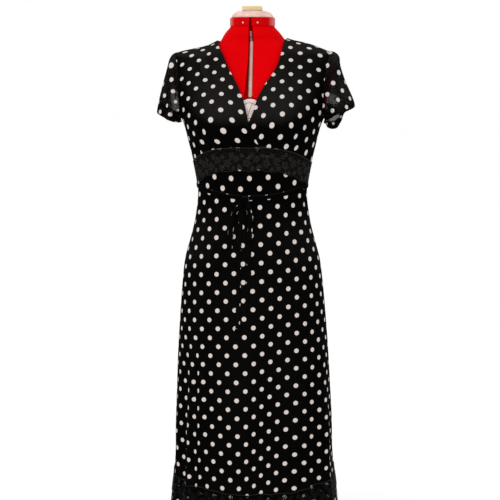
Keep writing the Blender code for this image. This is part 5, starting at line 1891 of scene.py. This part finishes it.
def make_loop(name, line, bulge):
    """Drooping bow loop: down in front, round its foot and up behind."""
    high = line[-1][0]
    low = line[0][0]
    lift = TAIL_LIFT + SOLID_WALL + 2.0 * SEAM_GAP
    down = np.linspace(high, low, 40)
    turn = np.linspace(0.0, math.pi, 16)[1:-1]
    height = np.concatenate((down, low - 0.5 * LOOP_APART * np.sin(turn), down[::-1]))
    shaped = np.sin(math.pi * np.clip((high - down) / (high - low), 0.0, 1.0))
    front = lift + LOOP_APART + 0.5 * SOLID_WALL + bulge * shaped
    foot = lift + 0.5 * (LOOP_APART + SOLID_WALL) + 0.5 * LOOP_APART * np.cos(turn)
    back = np.full(40, lift + 0.5 * SOLID_WALL)
    x = eased(line, np.maximum(height, low), 1)
    middle = skirt_place(x, height, np.concatenate((front, foot, back)))[0]
    outward = unit(np.cross((1.0, 0.0, 0.0), np.gradient(middle, axis=0)))
    flare = 1.0 + 0.10 * np.sin(np.linspace(0.0, 9.0, len(middle)))
    piece, length = make_ribbon(name, middle, outward, flare)


def make_knot(name, size, x, middle, stand, lean, wraps):
    """Pulled knot in front of the skin: a soft block with the wraps of the tie around it."""
    face = skin(angle_of(np.array(x), np.array(middle)), np.array(middle), SEAM_GAP)
    centre = (x, face[1] - 0.5 * size[1] - stand, middle)
    rows = 49
    columns = 64
    turn = ring_turns(columns)
    tilt = np.linspace(-0.5 * math.pi, 0.5 * math.pi, rows)[:, None]
    ring = squared(np.cos(tilt), 0.55)
    across = ring * squared(np.cos(turn), 0.62)
    deep = ring * squared(np.sin(turn), 0.70)
    upward = squared(np.sin(tilt), 0.62) + 0.0 * turn
    wrap = np.abs(np.cos((upward + lean * across) * math.pi * wraps))
    depth = 1.0 + 0.075 * wrap ** 0.6 - 0.05
    points = joined(
        centre[0] + 0.5 * size[0] * across * (1.0 - 0.12 * upward * lean) * (0.96 + 0.04 * wrap),
        centre[1] + 0.5 * size[1] * deep * np.minimum(depth, 1.0),
        centre[2] + 0.5 * size[2] * upward,
    )
    tall = np.concatenate((points, points[:, :1]), axis=1)[..., 2] - centre[2]
    wide = np.linspace(0.0, 2.0 * (size[0] + size[1]), columns + 1)
    spots = joined(*laid(wide, tall, *DOTS_ON_TIES[name])).reshape(-1, 2)[quads(rows, columns + 1)]
    faces = ring_quads(rows, columns)
    piece = mesh_piece(name + "_cloth", points.reshape(-1, 3), faces, spots, finish_of("dotted_crepe"), 80.0)
    work = bmesh.new()
    work.from_mesh(piece.data)
    bmesh.ops.remove_doubles(work, verts=work.verts, dist=0.00001)
    work.to_mesh(piece.data)
    work.free()
    show(piece, "dotted_cloth", name)


def form_inset(height):
    """How far the form's face lies inside the dress's outer face."""
    shoulder = (SHOULDER_INSET - FORM_INSET) * ramp((height - 1.26) / 0.06)
    return (FORM_INSET + shoulder) * (1.0 - ramp((height - 1.417) / 0.027))


def arm_plate(angle, height):
    """How far the arm plates stand out of the torso."""
    away = (np.abs(angle - 180.0) - 90.0) / PLATE_WIDE
    return PLATE_RISE * bell(away) * bell((height - PLATE_HEIGHT) / PLATE_TALL)


def form_upright(height):
    """1 where the form's face is moved level, 0 over its shoulders."""
    return 1.0 - ramp((height - 1.285) / 0.030) * (1.0 - ramp((height - 1.425) / 0.030))


def form_front(height):
    """y of the form's face at its middle."""
    height = np.asarray(height, float)
    return skin(np.zeros_like(height), height, -form_inset(height), False, form_upright(height))[..., 1]


def rounded(profile, radius):
    """Profile with an arc in place of each inner corner."""
    result = [profile[0]]
    for before, corner, after in zip(profile, profile[1:], profile[2:]):
        first = Vector(before) - Vector(corner)
        second = Vector(after) - Vector(corner)
        reach = min(radius, 0.45 * first.length, 0.45 * second.length)
        start = Vector(corner) + first.normalized() * reach
        stop = Vector(corner) + second.normalized() * reach
        for step in range(6):
            part = step / 5
            result.append(tuple(
                (1.0 - part) ** 2 * start[axis] + 2.0 * part * (1.0 - part) * corner[axis]
                + part * part * stop[axis]
                for axis in (0, 1)
            ))
    result.append(profile[-1])
    return result


def dial_slope():
    """Lean of the form's face where the dial sits."""
    return float((form_front(DIAL_Z + 0.015) - form_front(DIAL_Z - 0.015)) / 0.030)


def dial_middle():
    """y of the dial's middle."""
    return float(form_front(DIAL_Z)) + 0.5 * DIAL_DEPTH + 0.0004


def make_torso():
    """Smooth red torso with its neck, cut by the front slot and the dial's window."""
    jersey = finish_of("form_jersey")
    foot = np.array((0.795, 0.7962, 0.798, 0.800, 0.803, 0.807))
    height = np.concatenate((foot, np.linspace(0.812, FORM_TOP, 210)))
    angle, level = np.meshgrid(np.arange(180) * 2.0, height)
    inset = form_inset(level) + eased(FORM_FOOT, level, 1) - arm_plate(angle, level)
    points = skin(angle, level, -inset, False, form_upright(level))
    torso = show(loft("torso_jersey", points, jersey, 30.0), "form_red", "form_torso")
    rows = np.array(SLOT)
    slot_height = np.linspace(SLOT[0][0], SLOT[-1][0], 48)
    left, right, floor = (np.interp(slot_height, rows[:, 0], rows[:, column]) for column in (1, 2, 3))
    corners = ((left, BEFORE_FORM), (right, BEFORE_FORM), (right, floor), (left, floor))
    slot = loft("slot_cutter", np.stack([joined(x, y, slot_height) for x, y in corners], axis=1), jersey)
    slope = dial_slope()
    behind = (0.5 * DIAL_DEPTH + SEAM_GAP) * math.sqrt(1.0 + slope * slope)
    turn = ring_turns(64)
    x = 0.5 * (WINDOW_X[0] + WINDOW_X[1]) + 0.5 * (WINDOW_X[1] - WINDOW_X[0]) * squared(np.cos(turn), 0.8)
    z = 0.5 * (WINDOW_Z[0] + WINDOW_Z[1]) + 0.5 * (WINDOW_Z[1] - WINDOW_Z[0]) * squared(np.sin(turn), 0.8)
    far = dial_middle() + slope * (z - DIAL_Z) + behind
    window = loft("window_cutter", np.stack((joined(x, BEFORE_FORM, z), joined(x, far, z))), jersey)
    bpy.context.view_layer.objects.active = torso
    for cutter in (slot, window):
        cut = torso.modifiers.new("cut", "BOOLEAN")
        cut.operation = "DIFFERENCE"
        cut.solver = "EXACT"
        cut.object = cutter
        bpy.ops.object.modifier_apply(modifier="cut")
        bpy.data.objects.remove(cutter)
    torso.data.shade_smooth()
    torso.data.set_sharp_from_angle(angle=math.radians(30.0))


def make_bar(name, top, foot, width, middles, recess, material, slot_name):
    """Rounded part of the slider bar that stands in the slot."""
    height = np.linspace(foot, top, 40)
    share = (height - foot) / (top - foot)
    x = middles[0] + (middles[1] - middles[0]) * share
    face = form_front(np.minimum(height, 1.440)) + recess
    turn = ring_turns(32)
    ease = (1.0 - 0.35 * bell(share / 0.012) - 0.35 * bell((1.0 - share) / 0.012))[:, None]
    points = joined(
        x[:, None] + 0.5 * width * ease * squared(np.cos(turn), 0.7),
        (face + 0.5 * BAR_DEPTH)[:, None] + 0.5 * BAR_DEPTH * ease * squared(np.sin(turn), 0.7),
        height[:, None],
    )
    show(loft(name + "_round", points, finish_of(material), 50.0), slot_name, name)


def make_dial():
    """Round dial of the adjuster, with a raised rim and a dished face."""
    half = 0.5 * DIAL_DEPTH
    profile = rounded((
        (0.0, -half), (DIAL_RADIUS, -half), (DIAL_RADIUS, half), (DIAL_RADIUS - 0.0035, half),
        (DIAL_RADIUS - 0.0050, half - 0.0012), (0.0060, half - 0.0012), (0.0045, half), (0.0, half),
    ), 0.0009)
    profile = [(max(radius, 0.0002), height) for radius, height in profile]
    piece = turned("dial_face", profile, finish_of("dial_plastic"), 96)
    tilt = math.radians(90.0) - math.atan(dial_slope())
    piece.data.transform(Matrix.Translation((DIAL_X, dial_middle(), DIAL_Z)) @ Matrix.Rotation(tilt, 4, "X"))
    show(piece, "form_pale_plastic", "form_dial")


def make_collar(side, name, end):
    """Half of the neck band, with rounded edges, from its end near the front."""
    turn = side * np.linspace(math.radians(end), math.radians(179.6), 72)[:, None]
    loop = ring_turns(28)
    thick = 0.5 * (COLLAR_OUTER - COLLAR_INNER)
    tall = 0.5 * (COLLAR_TOP - COLLAR_FOOT)
    radius = 0.5 * (COLLAR_INNER + COLLAR_OUTER) + thick * squared(np.cos(loop), 0.45)
    height = 0.5 * (COLLAR_TOP + COLLAR_FOOT) + tall * squared(np.sin(loop), 0.14)
    points = joined(np.sin(turn) * radius, -np.cos(turn) * radius, height)
    show(loft(name + "_band", points, finish_of("form_collar"), 50.0), "collar_red", name)


def make_rivet(name, turn):
    """Small domed rivet on the neck band."""
    turn = math.radians(turn)
    profile = [(0.0020, 0.0), (0.0020, 0.0003)]
    for step in range(8):
        tip = step / 7 * 0.5 * math.pi
        profile.append((max(0.0019 * math.cos(tip), 0.00005), 0.0003 + 0.0009 * math.sin(tip)))
    piece = turned(name + "_dome", profile, finish_of("rivet_metal"), 32)
    upright = Matrix.Rotation(math.radians(90.0), 4, "X")
    away = COLLAR_OUTER + SEAM_GAP
    spot = Matrix.Translation((away * math.sin(turn), -away * math.cos(turn), RIVET_Z))
    piece.data.transform(spot @ Matrix.Rotation(turn, 4, "Z") @ upright)
    show(piece, "form_rivet_metal", name)


def make_block(name, size, centre, bevel, material):
    """Block with rounded edges."""
    work = bmesh.new()
    bmesh.ops.create_cube(work, size=1.0)
    bmesh.ops.scale(work, vec=size, verts=work.verts)
    bmesh.ops.bevel(work, geom=list(work.edges), offset=bevel, segments=5, profile=0.6, affect="EDGES")
    bmesh.ops.translate(work, vec=centre, verts=work.verts)
    mesh = bpy.data.meshes.new(name)
    work.to_mesh(mesh)
    work.free()
    return new_object(name, mesh, material, 35.0)


def make_leg(name, direction):
    """Curved leg of the stand with rounded edges."""
    inner = HUB_RADIUS + SEAM_GAP
    u = np.linspace(0.0, 1.0, 40)[:, None]
    along = inner + 0.0006 + (LEG_REACH - inner) * u
    high = HUB_FOOT + 0.020
    low = high - (high - PAD_HEIGHT - SEAM_GAP) * u ** 1.6
    tall = 0.0220 * (1.0 - 0.45 * u)
    wide = 0.0240 * (1.0 - 0.25 * u)
    loop = ring_turns(32)
    across = 0.5 * wide * squared(np.cos(loop), 0.45)
    points = joined(
        direction[0] * along - direction[1] * across,
        direction[1] * along + direction[0] * across,
        low + 0.5 * tall + 0.5 * tall * squared(np.sin(loop), 0.45),
    )
    show(loft(name + "_curved", points, finish_of("black_paint"), 50.0), "stand_black", name)


def make_pad(name, direction):
    """Rubber pad under a leg."""
    profile = rounded((
        (CORE, 0.0), (PAD_RADIUS, 0.0), (PAD_RADIUS - 0.003, PAD_HEIGHT), (CORE, PAD_HEIGHT),
    ), 0.0012)
    piece = turned(name + "_rubber", profile, finish_of("black_rubber"), 48)
    reach = LEG_REACH - 0.5 * PAD_RADIUS
    piece.data.transform(Matrix.Translation((direction[0] * reach, direction[1] * reach, 0.0)))
    show(piece, "stand_rubber", name)


def area_light(name, place, aim_height, size, energy):
    """Large soft round light that looks at the dress's axis."""
    lamp = bpy.data.lights.new(name, "AREA")
    lamp.shape = "DISK"
    lamp.size = size
    lamp.energy = energy
    made = bpy.data.objects.new(name, lamp)
    made.location = place
    made.rotation_euler = (Vector((0.0, 0.0, aim_height)) - Vector(place)).to_track_quat("-Z", "Y").to_euler()
    bpy.context.scene.collection.objects.link(made)


class DRESS_OT_camera(bpy.types.Operator):
    """Place the camera as the photograph was taken"""

    bl_idname = "dress.camera"
    bl_label = "Camera"

    def execute(self, context):
        studio = context.scene.dress_studio
        lens = bpy.data.cameras.new("camera")
        lens.sensor_fit = "HORIZONTAL"
        lens.sensor_width = 36.0
        lens.lens = studio.lens
        made = bpy.data.objects.new("camera", lens)
        context.scene.collection.objects.link(made)
        place = Vector((
            studio.distance * math.sin(studio.azimuth),
            -studio.distance * math.cos(studio.azimuth),
            studio.height,
        ))
        face = Matrix.Rotation(studio.azimuth + studio.aside, 4, "Z")
        tilt = Matrix.Rotation(math.radians(90.0) - studio.pitch, 4, "X")
        made.matrix_world = Matrix.Translation(place) @ face @ tilt
        context.scene.camera = made
        return {"FINISHED"}


class DRESS_OT_form(bpy.types.Operator):
    """Make the torso, its neck and the fittings"""

    bl_idname = "dress.form"
    bl_label = "Dress Form"

    def execute(self, context):
        make_torso()
        make_bar(
            "form_bar", BAR_TOP, BAR_FOOT, BAR_WIDTH, (0.0018, 0.0004), 0.0060, "bar_plastic",
            "form_pale_plastic",
        )
        make_bar(
            "form_bar_tip", BAR_TIP_TOP, BAR_TOP + SEAM_GAP, BAR_TIP_WIDTH, (0.0005, -0.0006), 0.0075,
            "speckled_tip", "form_dark_plastic",
        )
        make_dial()
        for side, name, end, turn in zip((-1.0, 1.0), ("right", "left"), COLLAR_ENDS, RIVET_TURNS):
            make_collar(side, "form_collar_" + name, end)
            make_rivet("form_rivet_" + name, side * turn)
        foot = FORM_TOP + SEAM_GAP
        dome = [(radius, foot + rise) for radius, rise in CAP_DOME]
        cap = turned("neck_cap_dome", rounded(dome, 0.0030), finish_of("cap_plastic"), 96)
        show(cap, "form_pale_plastic", "form_neck_cap")
        centre = (-0.0007, 0.0, foot + CAP_DOME[-1][1] + SEAM_GAP + 0.5 * TOP_BLOCK_SIZE[2])
        block = make_block("top_block", TOP_BLOCK_SIZE, centre, 0.0020, finish_of("cream_block"))
        show(block, "form_cream_block", "form_top_block")
        return {"FINISHED"}


class DRESS_OT_stand(bpy.types.Operator):
    """Make the pole, hub, legs and pads"""

    bl_idname = "dress.stand"
    bl_label = "Stand"

    def execute(self, context):
        foot = HUB_TOP + SEAM_GAP
        top = FORM_BOTTOM - SEAM_GAP
        profile = rounded(((CORE, foot), (POLE_RADIUS, foot), (POLE_RADIUS, top), (CORE, top)), 0.0010)
        show(turned("pole_tube", profile, finish_of("pole_steel"), 48), "stand_steel", "stand_pole")
        profile = rounded((
            (CORE, HUB_FOOT), (HUB_RADIUS, HUB_FOOT), (HUB_RADIUS, HUB_TOP - 0.0060),
            (HUB_RADIUS - 0.0060, HUB_TOP), (CORE, HUB_TOP),
        ), 0.0020)
        show(turned("hub_round", profile, finish_of("black_paint")), "stand_black", "stand_hub")
        for name, direction in (("left", (1, 0)), ("right", (-1, 0)), ("back", (0, 1)), ("front", (0, -1))):
            make_leg("stand_leg_" + name, direction)
            make_pad("stand_pad_" + name, direction)
        return {"FINISHED"}


class DRESS_OT_bodice(bpy.types.Operator):
    """Make the wrapped fronts and the back of the bodice"""

    bl_idname = "dress.bodice"
    bl_label = "Bodice"

    def execute(self, context):
        make_bodice_front(-1.0, "bodice_front_right")
        make_bodice_front(1.0, "bodice_front_left")
        make_bodice_back()
        return {"FINISHED"}


class DRESS_OT_midriff(bpy.types.Operator):
    """Make the midriff and the lace band on it"""

    bl_idname = "dress.midriff"
    bl_label = "Midriff and Lace"

    def execute(self, context):
        make_midriff()
        make_waist_lace()
        return {"FINISHED"}


class DRESS_OT_skirt(bpy.types.Operator):
    """Make the skirt panels"""

    bl_idname = "dress.skirt"
    bl_label = "Skirt"

    def execute(self, context):
        make_skirt(True, "skirt_front")
        make_skirt(False, "skirt_back")
        return {"FINISHED"}


class DRESS_OT_hem(bpy.types.Operator):
    """Make the flounces and the lace over their seam"""

    bl_idname = "dress.hem"
    bl_label = "Hem"

    def execute(self, context):
        for front, name in ((True, "front"), (False, "back")):
            make_flounce(front, "hem_flounce_" + name)
            make_hem_lace(front, name)
        return {"FINISHED"}


class DRESS_OT_sleeves(bpy.types.Operator):
    """Make the sheer sleeves"""

    bl_idname = "dress.sleeves"
    bl_label = "Sleeves"

    def execute(self, context):
        make_sleeve(-1.0, "sleeve_right")
        make_sleeve(1.0, "sleeve_left")
        return {"FINISHED"}


class DRESS_OT_ties(bpy.types.Operator):
    """Make the ties, the bow and its hanging ends"""

    bl_idname = "dress.ties"
    bl_label = "Ties"

    def execute(self, context):
        reach = 0.5 * KNOT_SIZE[0] + 2.0 * SEAM_GAP
        make_tie("tie_right", -TIE_START, KNOT_X - reach)
        make_tie("tie_left", TIE_START, KNOT_X + reach)
        make_tail("tail_right", TAIL_OF_RIGHT_TIE, 0.0)
        make_tail("tail_left", TAIL_OF_LEFT_TIE, 0.012)
        make_loop("bow_loop_right", LOOP_OF_RIGHT_TIE, 0.0012)
        make_loop("bow_loop_left", LOOP_OF_LEFT_TIE, 0.0010)
        make_knot("tie_knot", KNOT_SIZE, KNOT_X, KNOT_Z, 0.0007, 0.35, 1.5)
        foot, x = TAIL_OF_RIGHT_TIE[0]
        height = foot - 0.5 * END_KNOT_SIZE[2] - SEAM_GAP
        make_knot("tail_end_knot", END_KNOT_SIZE, x, height, 0.0006, -0.3, 1.0)
        return {"FINISHED"}


class DRESS_OT_studio(bpy.types.Operator):
    """Make the white floor, the white world and the soft lights"""

    bl_idname = "dress.studio"
    bl_label = "Studio"

    def execute(self, context):
        corners = [(FLOOR_REACH * x, FLOOR_REACH * y, 0.0) for x, y in ((-1, -1), (1, -1), (1, 1), (-1, 1))]
        mesh = bpy.data.meshes.new("studio_floor")
        mesh.from_pydata(corners, [], [(0, 1, 2, 3)])
        new_object("studio_floor", mesh, studio_material("studio_paper"))
        world = bpy.data.worlds.new("studio_world")
        world.use_nodes = True
        world.node_tree.nodes["Background"].inputs["Color"].default_value = (1.0, 1.0, 1.0, 1.0)
        world.node_tree.nodes["Background"].inputs["Strength"].default_value = 1.0
        context.scene.world = world
        area_light("key_light", (-1.6, -2.6, 2.6), 1.1, 1.8, 24.0)
        area_light("fill_light", (2.0, -2.2, 1.8), 1.0, 2.2, 5.0)
        area_light("top_light", (0.0, 0.2, 3.4), 1.0, 1.6, 6.0)
        context.scene.view_settings.view_transform = "Standard"
        return {"FINISHED"}


class DRESS_PT_panel(bpy.types.Panel):
    """Buttons for the pieces of the dress"""

    bl_idname = "DRESS_PT_panel"
    bl_label = "Polka Dot Dress"
    bl_space_type = "VIEW_3D"
    bl_region_type = "UI"
    bl_category = "Dress"

    def draw(self, context):
        for operator in OPERATORS:
            self.layout.operator(operator.bl_idname)
        for group in ("dress_cloth", "dress_lace", "dress_form", "dress_studio"):
            settings = getattr(context.scene, group)
            for name in settings.__annotations__:
                self.layout.prop(settings, name)


OPERATORS = (
    DRESS_OT_camera,
    DRESS_OT_form,
    DRESS_OT_stand,
    DRESS_OT_bodice,
    DRESS_OT_midriff,
    DRESS_OT_skirt,
    DRESS_OT_hem,
    DRESS_OT_sleeves,
    DRESS_OT_ties,
    DRESS_OT_studio,
)
SETTINGS = (
    ("dress_cloth", DressCloth),
    ("dress_lace", DressLace),
    ("dress_form", DressFormLooks),
    ("dress_studio", DressStudio),
)


def register():
    """Register the settings, the operators and the panel."""
    for name, group in SETTINGS:
        bpy.utils.register_class(group)
        setattr(bpy.types.Scene, name, bpy.props.PointerProperty(type=group))
    for kind in (*OPERATORS, DRESS_PT_panel):
        bpy.utils.register_class(kind)


def unregister():
    """Remove what register added."""
    for kind in reversed((*OPERATORS, DRESS_PT_panel)):
        bpy.utils.unregister_class(kind)
    for name, group in reversed(SETTINGS):
        delattr(bpy.types.Scene, name)
        bpy.utils.unregister_class(group)


def main():
    """Build the whole scene."""
    register()
    bpy.ops.dress.camera()
    bpy.ops.dress.form()
    bpy.ops.dress.stand()
    bpy.ops.dress.bodice()
    bpy.ops.dress.midriff()
    bpy.ops.dress.skirt()
    bpy.ops.dress.hem()
    bpy.ops.dress.sleeves()
    bpy.ops.dress.ties()
    bpy.ops.dress.studio()


if __name__ == "__main__":
    main()
